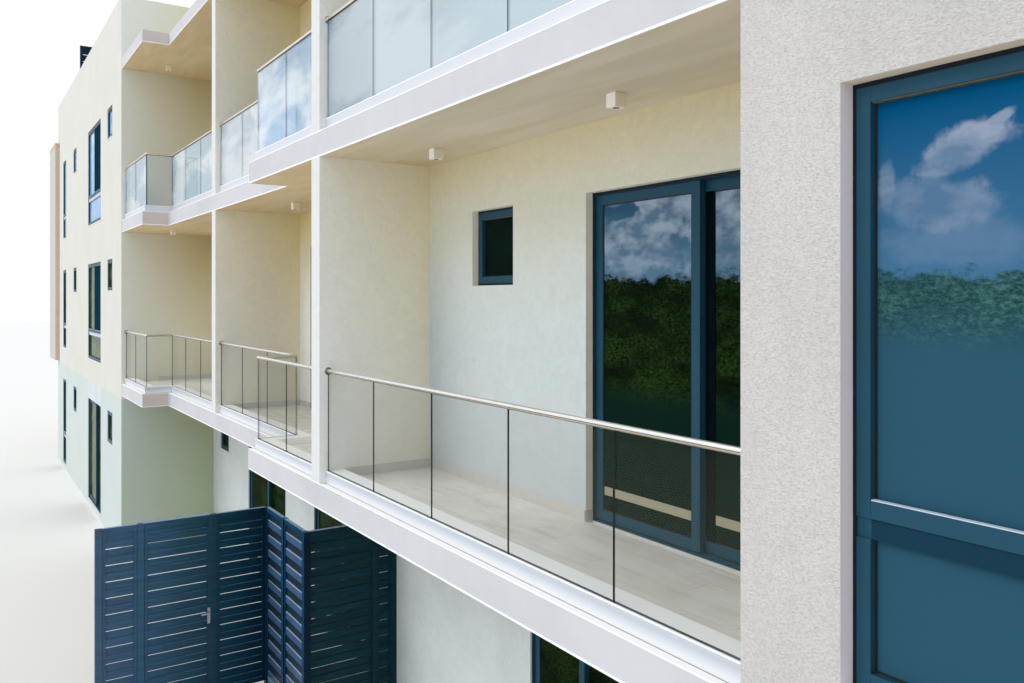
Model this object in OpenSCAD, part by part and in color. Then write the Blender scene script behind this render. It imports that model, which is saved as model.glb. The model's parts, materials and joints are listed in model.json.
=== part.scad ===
// Three-storey apartment block: two rendered end blocks with a recessed row of
// balcony bays between them. X runs along the front, Y into the building, Z up.
// The origin is on the ground at the middle of the four outer walls.

/* [Plan] */
// Depth from the front of the end blocks to the rear wall
depth = 10500; // [9500:100:11500]
// Thickness of the outer walls
wall_t = 250; // [200:10:300]
// Width of the far end block
far_block_w = 11450; // [11200:50:12000]
// Width of the first balcony bay, next to the far block
bay1_w = 5000; // [4900:10:5300]
// Width of the middle balcony bay
bay2_w = 5030; // [4900:10:5300]
// Width of the third balcony bay, next to the near block
bay3_w = 4800; // [4700:10:5100]
// Width of the near end block
near_block_w = 8400; // [8200:100:9000]
// Thickness of the dividing fins between the bays
fin_t = 200; // [150:10:240]

/* [Heights] */
// Floor level of the ground floor above the ground
plinth_h = 110; // [80:10:200]
// Height from one floor to the next
storey_h = 3100; // [3000:20:3300]
// Thickness of a floor slab, seen as the balcony fascia
slab_t = 250; // [200:10:300]
// Thickness of the roof slab, seen as the canopy edge
roof_t = 200; // [160:10:250]
// Height of the parapet above the roof slab
parapet_h = 1180; // [600:20:1400]
// Height from the top of the ground-floor render up to the first floor
band_drop = 320; // [260:10:400]

/* [Bays] */
// Setback of the balcony fascia behind the block fronts
fascia_setback = 5; // [5:1:60]
// Depth of the step between the outer and the inner fascia
fascia_step = 425; // [300:5:500]
// Setback of the third bay's wall behind the block fronts
bay3_setback = 1095; // [1000:5:1200]
// Setback of the other bays' upper wall behind the block fronts
bay_setback = 1660; // [1500:10:1800]
// Setback of the ground-floor wall behind the block fronts
low_setback = 1700; // [1600:10:1800]
// Length of the outer balcony stretch beside the far block
outer1_w = 2090; // [1800:10:2300]
// Length of the inner balcony stretch in the middle bay
inner2_w = 3100; // [2800:10:3300]
// Depth of the balconies on the far end wall
gable_balcony_d = 1280; // [1200:20:2000]
// Clear width of the balconies on the far end wall
gable_balcony_w = 4800; // [4000:100:5200]
// How far the end balconies' front fin stands proud of the block front
gable_proud = 110; // [60:10:140]
// How far that fin laps over the block's front
gable_lap = 370; // [300:10:450]

/* [Balustrades] */
// Setback of the aluminium glass channel behind the fascia
channel_setback = 53; // [30:1:80]
// Width of the glass channel
channel_w = 52; // [50:2:80]
// Height of the glass channel and of the kerb behind it, above the floor
kerb_h = 82; // [70:2:140]
// Depth of the ledge in the slab's edge that the channel stands on, below the floor
ledge_drop = 25; // [15:5:40]
// Thickness of the channel's floor, which carries the glass
channel_floor = 20; // [10:5:40]
// Width of the kerb behind the channel
kerb_w = 125; // [100:5:250]
// Thickness of the balustrade glass
glass_t = 12; // [10:1:20]
// Gap between neighbouring glass panels
glass_gap = 8; // [5:1:12]
// Gap between the glass and the handrail's end plates
glass_end_gap = 4; // [2:1:10]
// Usual width of a glass panel
panel_w = 975; // [800:5:1200]
// Height of the handrail's centre above the floor
rail_z = 962; // [900:2:1100]
// Diameter of the handrail
rail_d = 38; // [30:1:50]
// Diameter of the round end plates of the handrail
rail_plate_d = 66; // [50:2:100]
// Thickness of those end plates
rail_plate_t = 8; // [5:1:12]

/* [Windows] */
// Height of the end blocks' window heads above the floor
head_h = 2390; // [2300:10:2450]
// Height of the door heads and of the bays' window heads above the floor
door_h = 2358; // [2300:2:2450]
// Sill height of the big and tall windows on the upper floors
sill_h = 180; // [120:10:300]
// Height of the transom's centre above the floor
transom_h = 810; // [700:10:1000]
// Width of the big windows
big_w = 2030; // [1900:10:2100]
// Width of the tall narrow windows
tall_w = 750; // [650:10:850]
// Width and height of the small square windows
small_w = 645; // [560:5:680]
// Width and height of the bays' small windows on the ground floor
low_small_w = 580; // [500:10:680]
// Distance from the far block's outer corner to its tall window
far_tall_edge = 1380; // [1200:10:1600]
// Distance from the far block's outer corner to its outer small window
far_small_edge = 3850; // [2800:50:4500]
// Distance from the far block's inner corner to its big window
far_big_edge = 2690; // [2500:10:2800]
// Distance from the far block's inner corner to its inner small window
far_inner_small_edge = 1090; // [900:10:1300]
// Distance from the near block's inner corner to its big window
near_big_edge = 470; // [400:10:600]
// Distance from the near block's inner corner to its inner small window
near_small_edge = 3400; // [3000:50:3700]
// Distance from the near block's outer corner to its outer small window
near_outer_small_edge = 680; // [500:10:800]
// Distance from that small window to the near block's tall window
near_tall_gap = 1000; // [800:20:1100]
// Distance from an end wall's left corner to its first small window
end_small_edge = 1200; // [800:50:1800]
// Distance from the near end wall's left corner to its tall window
end_tall_edge = 4000; // [3000:50:5000]
// Distance from the near end wall's right corner to its second small window
end_small2_edge = 2060; // [1200:20:2800]
// Distance from the far block's side to the first bay's small window
bay1_small_edge = 715; // [600:5:1000]
// Distance from the far block's side to the first bay's small window on the ground floor
bay1_low_small_edge = 545; // [400:5:700]
// Distance from the far block's side to the first bay's door on the ground floor
bay1_low_door_edge = 2420; // [2300:10:2600]
// Distance from the fin to the middle bay's door on the upper floors
bay2_door_edge = 440; // [400:10:700]
// Distance from the fin to the middle bay's door on the ground floor
bay2_low_door_edge = 490; // [400:10:800]
// Distance from the middle bay's small window to the next fin
bay2_small_edge = 850; // [600:10:1000]
// Distance from the fin to the third bay's door on the ground floor
bay3_low_door_edge = 800; // [600:20:1600]
// Distance from the fin to the third bay's small window
bay3_small_edge = 790; // [600:10:1000]
// Distance from a door's jamb to the side wall in the third bay
bay3_door_edge = 416; // [300:2:500]
// Distance from the first bay's door to the fin
bay1_door_edge = 390; // [300:10:500]
// Depth of the reveal in front of the end blocks' window frames
reveal_d = 75; // [50:5:90]
// Depth of the reveal in front of the far block's front windows
far_reveal_d = 15; // [10:1:60]
// Depth of the reveal in front of the bays' frames and of all upper doors
bay_reveal_d = 63; // [40:1:90]
// Depth of the reveal in front of the ground-floor doors and the windows beside them
low_reveal_d = 20; // [10:2:60]
// Width of the frame bars, seen from the front
frame_w = 76; // [50:2:90]
// Width of the transom
transom_w = 140; // [80:5:160]
// Depth of a window frame
frame_d = 70; // [60:5:80]
// Thickness of the glass units
pane_t = 24; // [18:2:30]

/* [Sliding doors] */
// Width of the balcony doors
door_w = 2000; // [1900:10:2100]
// Width of the third bay's ground-floor door
low_door_w = 1420; // [1100:10:1600]
// Depth of the door frame with its two tracks
door_frame_d = 130; // [120:5:150]
// Width of the outer door frame, seen from the front
jamb_w = 20; // [12:2:60]
// Width of a leaf's stiles and rails
stile_w = 70; // [60:2:90]
// Thickness of a leaf
leaf_t = 44; // [36:2:48]
// Height of the sill rail that carries a leaf
track_h = 8; // [6:1:12]
// Width of the sill rail that carries a leaf
track_w = 10; // [6:1:14]
// Gap between a leaf and the sill rail that carries it
seat_gap = 0.3; // [0.2:0.1:0.5]
// Clear gap between moving pieces and their neighbours
move_gap = 6; // [5:0.5:10]
// Length of a leaf's pull bar
pull_l = 300; // [200:10:400]
// Width of a leaf's pull bar
pull_w = 20; // [16:1:30]
// How far a pull bar stands off its leaf
pull_out = 24; // [16:1:30]

/* [Lights and roof screen] */
// Edge of the cube lights under the soffits
light_w = 88; // [80:2:150]
// Distance between the two lights of the middle and third bays
light_pitch = 2310; // [2000:10:2400]
// Distance from the far block's side to the first bay's light under the balcony
bay1_light_edge = 1100; // [400:10:1600]
// Distance from the far block's side to the first bay's light under the canopy
bay1_canopy_light_edge = 690; // [400:10:1600]
// Distance from the bay wall to the first bay's lights
bay1_light_out = 950; // [600:10:1100]
// Distance from the fin to the middle bay's first light
bay2_light_edge = 1535; // [1000:5:1900]
// Distance from the bay wall to the middle bay's lights
bay2_light_out = 600; // [400:10:1000]
// Distance from the fin to the third bay's first light
bay3_light_edge = 900; // [800:10:1600]
// Distance from the third bay's wall to its lights
bay3_light_out = 415; // [300:5:800]
// Length of each leg of the slatted screen on the roof
roof_screen_w = 1260; // [1000:20:1400]
// Height of the slatted screen on the roof
roof_screen_h = 2650; // [2200:50:3000]
// Distance of that screen from the front parapet's inner face
roof_screen_inset = 130; // [50:10:600]
// Distance of that screen's outer face from the far end of the building
roof_screen_edge = 1920; // [1700:10:2400]

/* [Terrace screen] */
// Height of the terrace screen
screen_h = 2210; // [1900:10:2400]
// Distance of the terrace screen's long panel from the fascia step
screen_reach = 1310; // [1200:10:1500]
// Length of the first screen panel, which holds the gate
screen1_l = 1920; // [1850:10:2100]
// Length of the second screen panel
screen2_l = 1450; // [1300:10:1600]
// Distance of the second panel's middle post from the first panel
screen_mid_edge = 670; // [600:10:750]
// Length of the short panel beside the wall
wall_panel_l = 165; // [120:5:240]
// Setback of the second screen panel behind the block fronts
screen_setback = 570; // [500:10:700]
// Width of the gate leaf
gate_w = 740; // [700:10:760]
// Edge of the square posts
post_w = 70; // [60:2:90]
// Width of the first fixed stretch, between the outer post and the gate
screen_end_l = 370; // [340:10:400]
// Thickness of the screen frames
screen_t = 40; // [30:2:50]
// Height of the screen frames' top and bottom rails
screen_rail_w = 60; // [50:2:80]
// Width of the screen frames' side stiles
screen_stile_w = 38; // [36:2:60]
// Width of the side stiles in the panels that run back to the wall
back_stile_w = 20; // [16:2:40]
// Height of one slat of a screen
slat_h = 170; // [150:2:180]
// Gap between the slats of a screen
slat_gap = 15; // [10:1:20]
// Thickness of a slat
slat_t = 16; // [12:1:18]
// How far a slat's lower half stands proud of its upper half
slat_step = 10; // [6:1:12]
// Gap between the screens and the ground
screen_foot = 60; // [40:5:100]
// Diameter of the gate's hinge barrels
hinge_d = 24; // [20:1:30]
// Diameter of the pins in the hinge barrels
hinge_pin_d = 10; // [8:1:14]
// Height of each of the gate's hinge barrels
hinge_h = 60; // [50:5:80]
// Distance of the hinges from the gate's top and foot
hinge_edge = 320; // [200:10:400]
// Height of the lever handle above the ground
lever_z = 1040; // [950:10:1100]
// Length of the lever
lever_l = 95; // [80:5:150]
// Thickness of the lever
lever_t = 9; // [6:1:12]
// Diameter of the lever's shaft, and height of the lever
lever_d = 18; // [14:1:22]
// How far the lever stands off the gate
lever_out = 50; // [40:5:70]
// Width of the plate behind the lever
plate_w = 34; // [24:2:36]
// Height of the plate behind the lever
plate_h = 190; // [180:10:260]
// How far the plate's middle lies below the lever
plate_drop = 35; // [20:5:60]
// Thickness of the plate behind the lever
plate_t = 6; // [4:1:10]

/* [Hidden] */
$fn = 32;
// How far a cut runs past the face it goes through
e = 1;

// Colours
rough_white = "#D9D4CC";
cream = "#E8E4D8";
white_paint = "#EEEFF0";
cool_white = "#E0E6E6";
anthracite = "#24455C";
navy = "#1C2F45";
steel = "#B8BEC4";
clear_glass = "#9CC0C8";

// Places along the front
total_w = far_block_w + bay1_w + bay2_w + bay3_w + near_block_w + 2 * fin_t;
x_far_l = -total_w / 2;
x_far_r = x_far_l + far_block_w;
x_fin_a = x_far_r + bay1_w;
x_bay2 = x_fin_a + fin_t;
x_fin_b = x_bay2 + bay2_w;
x_bay3 = x_fin_b + fin_t;
x_near_l = x_bay3 + bay3_w;
x_near_r = x_near_l + near_block_w;
x_step1 = x_far_r + outer1_w;
x_step2 = x_bay2 + inner2_w;

// Places from front to back, and the length of an end wall
end_l = depth - 2 * wall_t;
y_front = -depth / 2;
y_rear = depth / 2;
y_outer = y_front + fascia_setback;
y_inner = y_outer + fascia_step;
y_bay3 = y_front + bay3_setback;
y_bay = y_front + bay_setback;
y_low = y_front + low_setback;
y_room = y_bay + wall_t;
y_low_room = y_low + wall_t;

// Levels
storeys = 3;
function floor_z(i) = plinth_h + i * storey_h;
function head_z(i) = floor_z(i) + head_h;
function door_head_z(i) = floor_z(i) + door_h;
z_roof = floor_z(storeys) - slab_t;
z_roof_top = z_roof + roof_t;
z_top = z_roof_top + parapet_h;
band_z = floor_z(1) - band_drop;

// End balconies on the far gable
x_gable = x_far_l - gable_balcony_d;
y_gable = y_front - gable_proud;
y_gable_in = y_gable + fin_t;
y_gable_out = y_gable_in + gable_balcony_w;

// Openings: [left edge, width, sill level, head level, kind]
SMALL = 0;
TALL = 1;
BIG = 2;
SLIDER = 3;
PASSAGE = 4;
function small_at(x, i) = [x, small_w, head_z(i) - small_w, head_z(i), SMALL];
function low_sill(i) = i == 0 ? plinth_h : floor_z(i) + sill_h;
function tall_at(x, i) = [x, tall_w, low_sill(i), head_z(i), TALL];
function big_at(x, i) = [x, big_w, low_sill(i), head_z(i), BIG];
function bay_small_at(x, w, i) = [x, w, door_head_z(i) - w, door_head_z(i), SMALL];
function slider_at(x, i, w) = [x, w, floor_z(i), door_head_z(i), i == 0 ? PASSAGE : SLIDER];

// Far block front, measured from its left corner
far_tall_x = far_tall_edge;
far_small_x = far_small_edge;
far_big_x = far_block_w - far_big_edge - big_w;
far_small2_x = far_block_w - far_inner_small_edge - small_w;
far_openings = [for (i = [0:storeys - 1]) each [
  tall_at(far_tall_x, i), small_at(far_small_x, i), big_at(far_big_x, i), small_at(far_small2_x, i)]];

// Near block front, measured from its left corner
near_big_x = near_big_edge;
near_small_x = near_small_edge;
near_small2_x = near_block_w - near_outer_small_edge - small_w;
near_tall_x = near_small2_x - near_tall_gap - tall_w;
near_openings = [for (i = [0:storeys - 1]) each [
  big_at(near_big_x, i), small_at(near_small_x, i), tall_at(near_tall_x, i), small_at(near_small2_x, i)]];

// Rear wall, measured from its left corner as seen from behind
middle_w = total_w - far_block_w - near_block_w;
rear_step = middle_w / 4;
rear_openings = [for (i = [0:storeys - 1]) each concat(
  [small_at(near_block_w - near_small_x - small_w, i), big_at(near_block_w - near_big_x - big_w, i),
   tall_at(near_block_w - near_tall_x - tall_w, i)],
  [for (k = [0:3]) (k % 2 == 0)
    ? big_at(near_block_w + (k + 0.5) * rear_step - big_w / 2, i)
    : small_at(near_block_w + (k + 0.5) * rear_step - small_w / 2, i)],
  [small_at(total_w - far_small2_x - small_w, i), big_at(total_w - far_big_x - big_w, i),
   small_at(total_w - far_small_x - small_w, i), tall_at(total_w - far_tall_x - tall_w, i)])];

// End walls, measured from their left corner as seen from outside
end_small2_x = end_l - end_small2_edge - small_w;
near_end_openings = [for (i = [0:storeys - 1]) each [
  small_at(end_small_edge, i), tall_at(end_tall_edge, i), small_at(end_small2_x, i)]];
gable_door_x = y_rear - wall_t - (y_gable_in + gable_balcony_w / 2) - door_w / 2;
far_end_openings = [for (i = [0:storeys - 1]) each [
  small_at(end_small_edge, i),
  i == 0 ? tall_at(gable_door_x + (door_w - tall_w) / 2, i) : slider_at(gable_door_x, i, door_w)]];

// Bay walls, measured from the far block's side face
bay1_door_x = bay1_w - bay1_door_edge - door_w;
bay2_door_x = x_bay2 - x_far_r + bay2_door_edge;
bay2_small_x = x_fin_b - x_far_r - bay2_small_edge - small_w;
bay3_door_x = bay3_w - bay3_door_edge - door_w;
function bay_openings(i) = [
  bay_small_at(bay1_small_edge, small_w, i), slider_at(bay1_door_x, i, door_w),
  slider_at(bay2_door_x, i, door_w), bay_small_at(bay2_small_x, small_w, i)];
function bay3_openings(i) = [bay_small_at(bay3_small_edge, small_w, i), slider_at(bay3_door_x, i, door_w)];
bay_low_windows = [
  bay_small_at(bay1_low_small_edge, low_small_w, 0), bay_small_at(bay2_small_x, low_small_w, 0)];

// Ground-floor doors that open: [left edge, width] along X, and the wall face
door_a = [x_far_l + far_big_x, big_w, y_front];
door_b = [x_far_r + bay1_low_door_edge, door_w, y_low];
door_c = [x_bay2 + bay2_low_door_edge, door_w, y_low];
door_d = [x_bay3 + bay3_low_door_edge, low_door_w, y_low];
bay_doors = [door_b, door_c, door_d];
DOORS = [door_a, door_b, door_c, door_d];

// Width of a door leaf, and the sizes of the moving ones
function leaf_w(d) = (d[1] - 2 * jamb_w + stile_w) / 2;
leaf_z = jamb_w + track_h + seat_gap;
leaf_h = door_h - leaf_z - jamb_w - move_gap;

// Terrace screen
x_screen1 = x_step2 - screen_reach;
x_screen2 = x_screen1 + screen2_l;
y_screen = y_front + screen_setback;
y_screen_end = y_screen - screen1_l;
y_gate = y_screen_end + post_w + screen_end_l + post_w + move_gap;
y_gate_post = y_gate + gate_w + move_gap;

// Shared shapes

// A wall plate with its openings, outer face on y = 0
module wall_plate(len, z0, z1, openings) {
  difference() {
    translate([0, 0, z0]) cube([len, wall_t, z1 - z0]);
    for (o = openings)
      if (o[3] > z0 && o[2] < z1)
        translate([o[0], -e, max(o[2], z0 - e)])
          cube([o[1], wall_t + 2 * e, min(o[3], z1 + e) - max(o[2], z0 - e)]);
  }
}

// A rectangular ring in the XZ plane
module ring(w, h, bar, d) {
  difference() {
    cube([w, d, h]);
    translate([bar, -e, bar]) cube([w - 2 * bar, d + 2 * e, h - 2 * bar]);
  }
}

// Frame bars of one window, r behind the wall's face
module window_frame(o, r) {
  h = o[3] - o[2];
  z_bar = floor_of(o) + transom_h - transom_w / 2 - o[2];
  translate([o[0], r, o[2]]) {
    ring(o[1], h, frame_w, frame_d);
    if (o[4] != SMALL)
      translate([frame_w, 0, z_bar]) cube([o[1] - 2 * frame_w, frame_d, transom_w]);
    if (o[4] == BIG)
      translate([(o[1] - frame_w) / 2, 0, z_bar + transom_w])
        cube([frame_w, frame_d, h - frame_w - z_bar - transom_w]);
  }
}
function floor_of(o) = o[3] - head_h;

// Glass of one window, one pane in each light
module window_glass(o, r) {
  h = o[3] - o[2];
  z_bar = floor_of(o) + transom_h - transom_w / 2 - o[2];
  clear_w = o[1] - 2 * frame_w;
  y_pane = r + (frame_d - pane_t) / 2;
  translate([o[0] + frame_w, y_pane, o[2]]) {
    if (o[4] == SMALL)
      translate([0, 0, frame_w]) cube([clear_w, pane_t, h - 2 * frame_w]);
    if (o[4] != SMALL)
      translate([0, 0, frame_w]) cube([clear_w, pane_t, z_bar - frame_w]);
    upper_h = h - frame_w - z_bar - transom_w;
    if (o[4] == TALL)
      translate([0, 0, z_bar + transom_w]) cube([clear_w, pane_t, upper_h]);
    if (o[4] == BIG)
      for (x = [0, (clear_w + frame_w) / 2])
        translate([x, 0, z_bar + transom_w]) cube([(clear_w - frame_w) / 2, pane_t, upper_h]);
  }
}

// Outer frame of a sliding door with its two sill rails
module slider_frame(w) {
  ring(w, door_h, jamb_w, door_frame_d);
  for (y = [outer_track, inner_track])
    translate([jamb_w, y + (leaf_t - track_w) / 2, jamb_w])
      cube([w - 2 * jamb_w, track_w, track_h]);
}
outer_track = (door_frame_d - 2 * leaf_t - move_gap) / 2;
inner_track = outer_track + leaf_t + move_gap;

// Stiles and rails of one leaf, standing on its sill rail
module leaf_frame(w) {
  ring(w, leaf_h, stile_w, leaf_t);
}
module leaf_pane(w) {
  translate([stile_w, (leaf_t - pane_t) / 2, stile_w])
    cube([w - 2 * stile_w, pane_t, leaf_h - 2 * stile_w]);
}
// The leaf that stands fixed on the left, on the outer track
module fixed_leaf_place() {
  translate([jamb_w, outer_track, jamb_w + track_h]) children();
}
// The leaf that slides, on the right on the inner track
module sliding_leaf_place(d) {
  x = d[0] + d[1] - jamb_w - move_gap - leaf_w(d);
  translate([x, d[2] + low_reveal_d + inner_track, plinth_h + leaf_z]) children();
}
module pull_bar(w) {
  translate([w - (stile_w + pull_w) / 2, leaf_t, (leaf_h - pull_l) / 2]) cube([pull_w, pull_out, pull_l]);
}

// Walls of each side, carried to their place
module at_far_front() { translate([x_far_l, y_front, 0]) children(); }
module at_near_front() { translate([x_near_l, y_front, 0]) children(); }
module at_rear() { translate([x_near_r, y_rear, 0]) rotate([0, 0, 180]) children(); }
module at_far_end() { translate([x_far_l, y_rear - wall_t, 0]) rotate([0, 0, -90]) children(); }
module at_near_end() { translate([x_near_r, y_front + wall_t, 0]) rotate([0, 0, 90]) children(); }
module at_bay() { translate([x_far_r, y_bay, 0]) children(); }
module at_low() { translate([x_far_r, y_low, 0]) children(); }
module at_bay3() { translate([x_bay3, y_bay3, 0]) children(); }

// Slabs

// Plan of an upper slab: the rooms and the stepped balconies in front of them
module slab_plan() {
  polygon([
    [x_far_l + wall_t, y_front + wall_t], [x_far_r - wall_t, y_front + wall_t],
    [x_far_r - wall_t, y_room], [x_far_r, y_room],
    [x_far_r, y_outer], [x_step1, y_outer], [x_step1, y_inner],
    [x_step2, y_inner], [x_step2, y_outer], [x_near_l, y_outer],
    [x_near_l, y_room], [x_near_l + wall_t, y_room],
    [x_near_l + wall_t, y_front + wall_t], [x_near_r - wall_t, y_front + wall_t],
    [x_near_r - wall_t, y_rear - wall_t], [x_far_l + wall_t, y_rear - wall_t]]);
}
module gable_slab_plan() {
  translate([x_gable, y_gable_in]) square([gable_balcony_d, gable_balcony_w]);
}
module upper_slab(z, t) {
  translate([0, 0, z]) linear_extrude(t) {
    slab_plan();
    gable_slab_plan();
  }
}
module ground_slab() {
  color(cool_white) linear_extrude(plinth_h) polygon([
    [x_far_l + wall_t, y_front + wall_t], [x_far_r - wall_t, y_front + wall_t],
    [x_far_r - wall_t, y_low_room], [x_near_l + wall_t, y_low_room],
    [x_near_l + wall_t, y_front + wall_t], [x_near_r - wall_t, y_front + wall_t],
    [x_near_r - wall_t, y_rear - wall_t], [x_far_l + wall_t, y_rear - wall_t]]);
}
// A floor slab with the ledge along its open edges, for the glass channels
module floor_slab(i) {
  color(white_paint) difference() {
    upper_slab(floor_z(i) - slab_t, slab_t);
    translate([0, 0, floor_z(i) - ledge_drop]) linear_extrude(ledge_drop + e) {
      edge_strip(-e, kerb_s + e);
      translate([x_fin_a, y_inner - e]) square([fin_t, kerb_s + e]);
      translate([x_fin_b, y_outer - e]) square([fin_t, kerb_s + e]);
    }
  }
}
module first_floor_slab() { floor_slab(1); }
module second_floor_slab() { floor_slab(2); }
module roof_slab() { color(white_paint) upper_slab(z_roof, roof_t); }

// Walls
module far_front_wall() {
  color(cream) at_far_front() wall_plate(far_block_w, band_z, z_top, far_openings);
}
// The ground-floor stretches on both sides of the far block's door
module far_front_piers() {
  left_w = far_big_x;
  right_x = far_big_x + big_w;
  low = [for (o = far_openings) if (o[3] < band_z) o];
  color(cool_white) at_far_front() {
    wall_plate(left_w, 0, band_z, low);
    translate([right_x, 0, 0])
      wall_plate(far_block_w - right_x, 0, band_z, [for (o = low) [o[0] - right_x, o[1], o[2], o[3], o[4]]]);
  }
}
module far_end_wall() {
  color(cream) at_far_end() wall_plate(end_l, 0, z_top, far_end_openings);
}
module near_end_wall() {
  color(rough_white) at_near_end() wall_plate(end_l, 0, z_top, near_end_openings);
}
module side_wall() {
  translate([0, y_front + wall_t, 0]) cube([wall_t, y_room - y_front - wall_t, z_top]);
}
module far_side_wall() { color(cream) translate([x_far_r - wall_t, 0, 0]) side_wall(); }
module near_side_wall() { color(cream) translate([x_near_l, 0, 0]) side_wall(); }
module near_front_wall() {
  color(rough_white) at_near_front() wall_plate(near_block_w, 0, z_top, near_openings);
}
module rear_wall() {
  color(cream) at_rear() wall_plate(total_w, 0, z_top, rear_openings);
}
// Ground-floor wall of the bays, between its doors
bay_low_edges = concat([x_far_r], [for (d = bay_doors) each [d[0], d[0] + d[1]]], [x_near_l]);
module bay_ground_piers() {
  color(cool_white) for (k = [0:2:len(bay_low_edges) - 1]) {
    x0 = bay_low_edges[k];
    translate([x0, y_low, 0])
      wall_plate(bay_low_edges[k + 1] - x0, 0, floor_z(1) - slab_t,
        [for (o = bay_low_windows) [o[0] + x_far_r - x0, o[1], o[2], o[3], o[4]]]);
  }
}
// The wall over each ground-floor door, and the step under it
module ground_lintels() {
  color(cool_white) {
    translate([door_a[0], y_front, door_head_z(0)]) cube([door_a[1], wall_t, band_z - door_head_z(0)]);
    for (d = bay_doors)
      translate([d[0], y_low, door_head_z(0)]) cube([d[1], wall_t, floor_z(1) - slab_t - door_head_z(0)]);
    for (d = DOORS)
      translate([d[0], d[2], 0]) cube([d[1], wall_t, plinth_h]);
  }
}
module bay_walls(i) {
  z0 = floor_z(i);
  z1 = floor_z(i + 1) - slab_t;
  at_bay() wall_plate(x_fin_b - x_far_r, z0, z1, bay_openings(i));
  at_bay3() wall_plate(bay3_w, z0, z1, bay3_openings(i));
}
module first_bay_walls() { color(cream) bay_walls(1); }
module second_bay_walls() { color(cream) bay_walls(2); }
// Upstand over the bays' wall, between the two blocks
module middle_parapet() {
  color(cream) translate([x_far_r, y_bay, z_roof_top]) cube([x_near_l - x_far_r, wall_t, parapet_h]);
}
module storey_fins(x, y0, y1) {
  for (i = [1:storeys - 1])
    translate([x, y0, floor_z(i)]) cube([fin_t, y1 - y0, storey_h - slab_t]);
}
// The foot of a fin fills the ledge of the slab
module fin_feet(x, y0) {
  for (i = [1:storeys - 1])
    translate([x, y0, floor_z(i) - ledge_drop]) cube([fin_t, kerb_s, ledge_drop + e]);
}
module bay_fins() {
  color(white_paint) {
    storey_fins(x_fin_a, y_inner, y_bay);
    fin_feet(x_fin_a, y_inner);
    storey_fins(x_fin_b, y_outer, y_room);
    fin_feet(x_fin_b, y_outer);
  }
}
// Fins on both sides of the end balconies; the front one laps over the block's front
module gable_fins() {
  z0 = floor_z(1) - slab_t;
  h = z_roof_top - z0;
  color(white_paint) {
    for (y = [y_gable, y_gable_out]) translate([x_gable, y, z0]) cube([gable_balcony_d, fin_t, h]);
    translate([x_far_l - e, y_gable, z0]) cube([gable_lap + e, gable_proud, h]);
  }
}

// Balustrades

// Plan of each balcony's floor, pulled back by s from its open edges
module bay1_plan(s) {
  polygon([[x_far_r, y_outer + s], [x_step1 - s, y_outer + s], [x_step1 - s, y_inner + s],
    [x_fin_a, y_inner + s], [x_fin_a, y_bay], [x_far_r, y_bay]]);
}
module bay2_plan(s) {
  polygon([[x_bay2, y_inner + s], [x_step2 + s, y_inner + s], [x_step2 + s, y_outer + s],
    [x_fin_b, y_outer + s], [x_fin_b, y_bay], [x_bay2, y_bay]]);
}
module bay3_plan(s) {
  translate([x_bay3, y_outer + s]) square([bay3_w, y_bay3 - y_outer - s]);
}
module gable_plan(s) {
  translate([x_gable + s, y_gable_in]) square([gable_balcony_d - s, gable_balcony_w]);
}
// A strip along all open edges, from s to s + w behind the slab's edge
module edge_strip(s, w) {
  difference() { bay1_plan(s); bay1_plan(s + w); }
  difference() { bay2_plan(s); bay2_plan(s + w); }
  difference() { bay3_plan(s); bay3_plan(s + w); }
  difference() { gable_plan(s); gable_plan(s + w); }
}
kerb_s = channel_setback + channel_w;
glass_s = channel_setback + (channel_w - glass_t) / 2;
module on_both_floors() {
  for (i = [1:storeys - 1]) translate([0, 0, floor_z(i)]) children();
}
module balcony_kerbs() {
  color(white_paint) on_both_floors() linear_extrude(kerb_h) edge_strip(kerb_s, kerb_w);
}
// The channel stands on the slab's ledge and is as high as the kerb
module glass_channels() {
  channel_h = ledge_drop + kerb_h;
  color(steel) on_both_floors() translate([0, 0, -ledge_drop]) difference() {
    linear_extrude(channel_h) edge_strip(channel_setback, channel_w);
    translate([0, 0, channel_floor]) linear_extrude(channel_h) edge_strip(glass_s, glass_t);
  }
}
// Gaps between equal panels: points on the glass line
function joints_between(a, b) =
  let (n = max(1, round((b - a) / panel_w))) [for (k = [1:1:n - 1]) a + k * (b - a) / n];
// Gaps between full panels, with a shorter last one
function full_joints(a, b) = [for (x = [a + panel_w:panel_w:b - panel_w / 2]) x];
rail_s = glass_s + glass_t / 2;
module joint_slot(x, y, turned) {
  translate([x, y]) rotate(turned ? 90 : 0) square([glass_gap, 4 * glass_t], center = true);
}
// Takes the glass back on both sides of a wall's face
module end_slot(x, y, end) {
  translate([x - end, y - end]) square(2 * end);
}
module panel_joints() {
  for (x = joints_between(x_far_r, x_step1 - rail_s)) joint_slot(x, y_outer + rail_s, false);
  for (x = joints_between(x_step1 - rail_s, x_fin_a)) joint_slot(x, y_inner + rail_s, false);
  for (x = joints_between(x_bay2, x_step2 + rail_s)) joint_slot(x, y_inner + rail_s, false);
  for (x = joints_between(x_step2 + rail_s, x_fin_b)) joint_slot(x, y_outer + rail_s, false);
  for (x = full_joints(x_bay3, x_near_l)) joint_slot(x, y_outer + rail_s, false);
  for (y = joints_between(y_gable_in, y_gable_out)) joint_slot(x_gable + rail_s, y, true);
  end = rail_plate_t + glass_end_gap;
  for (x = [x_far_r, x_bay3, x_near_l, x_fin_b]) end_slot(x, y_outer + rail_s, end);
  for (x = [x_fin_a, x_bay2]) end_slot(x, y_inner + rail_s, end);
  for (y = [y_gable_in, y_gable_out]) end_slot(x_gable + rail_s, y, end);
  corner = glass_t / 2 + glass_gap / 2;
  joint_slot(x_step1 - rail_s, y_outer + rail_s + corner, true);
  joint_slot(x_step1 - rail_s, y_inner + rail_s - corner, true);
  joint_slot(x_step2 + rail_s, y_inner + rail_s - corner, true);
  joint_slot(x_step2 + rail_s, y_outer + rail_s + corner, true);
}
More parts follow.
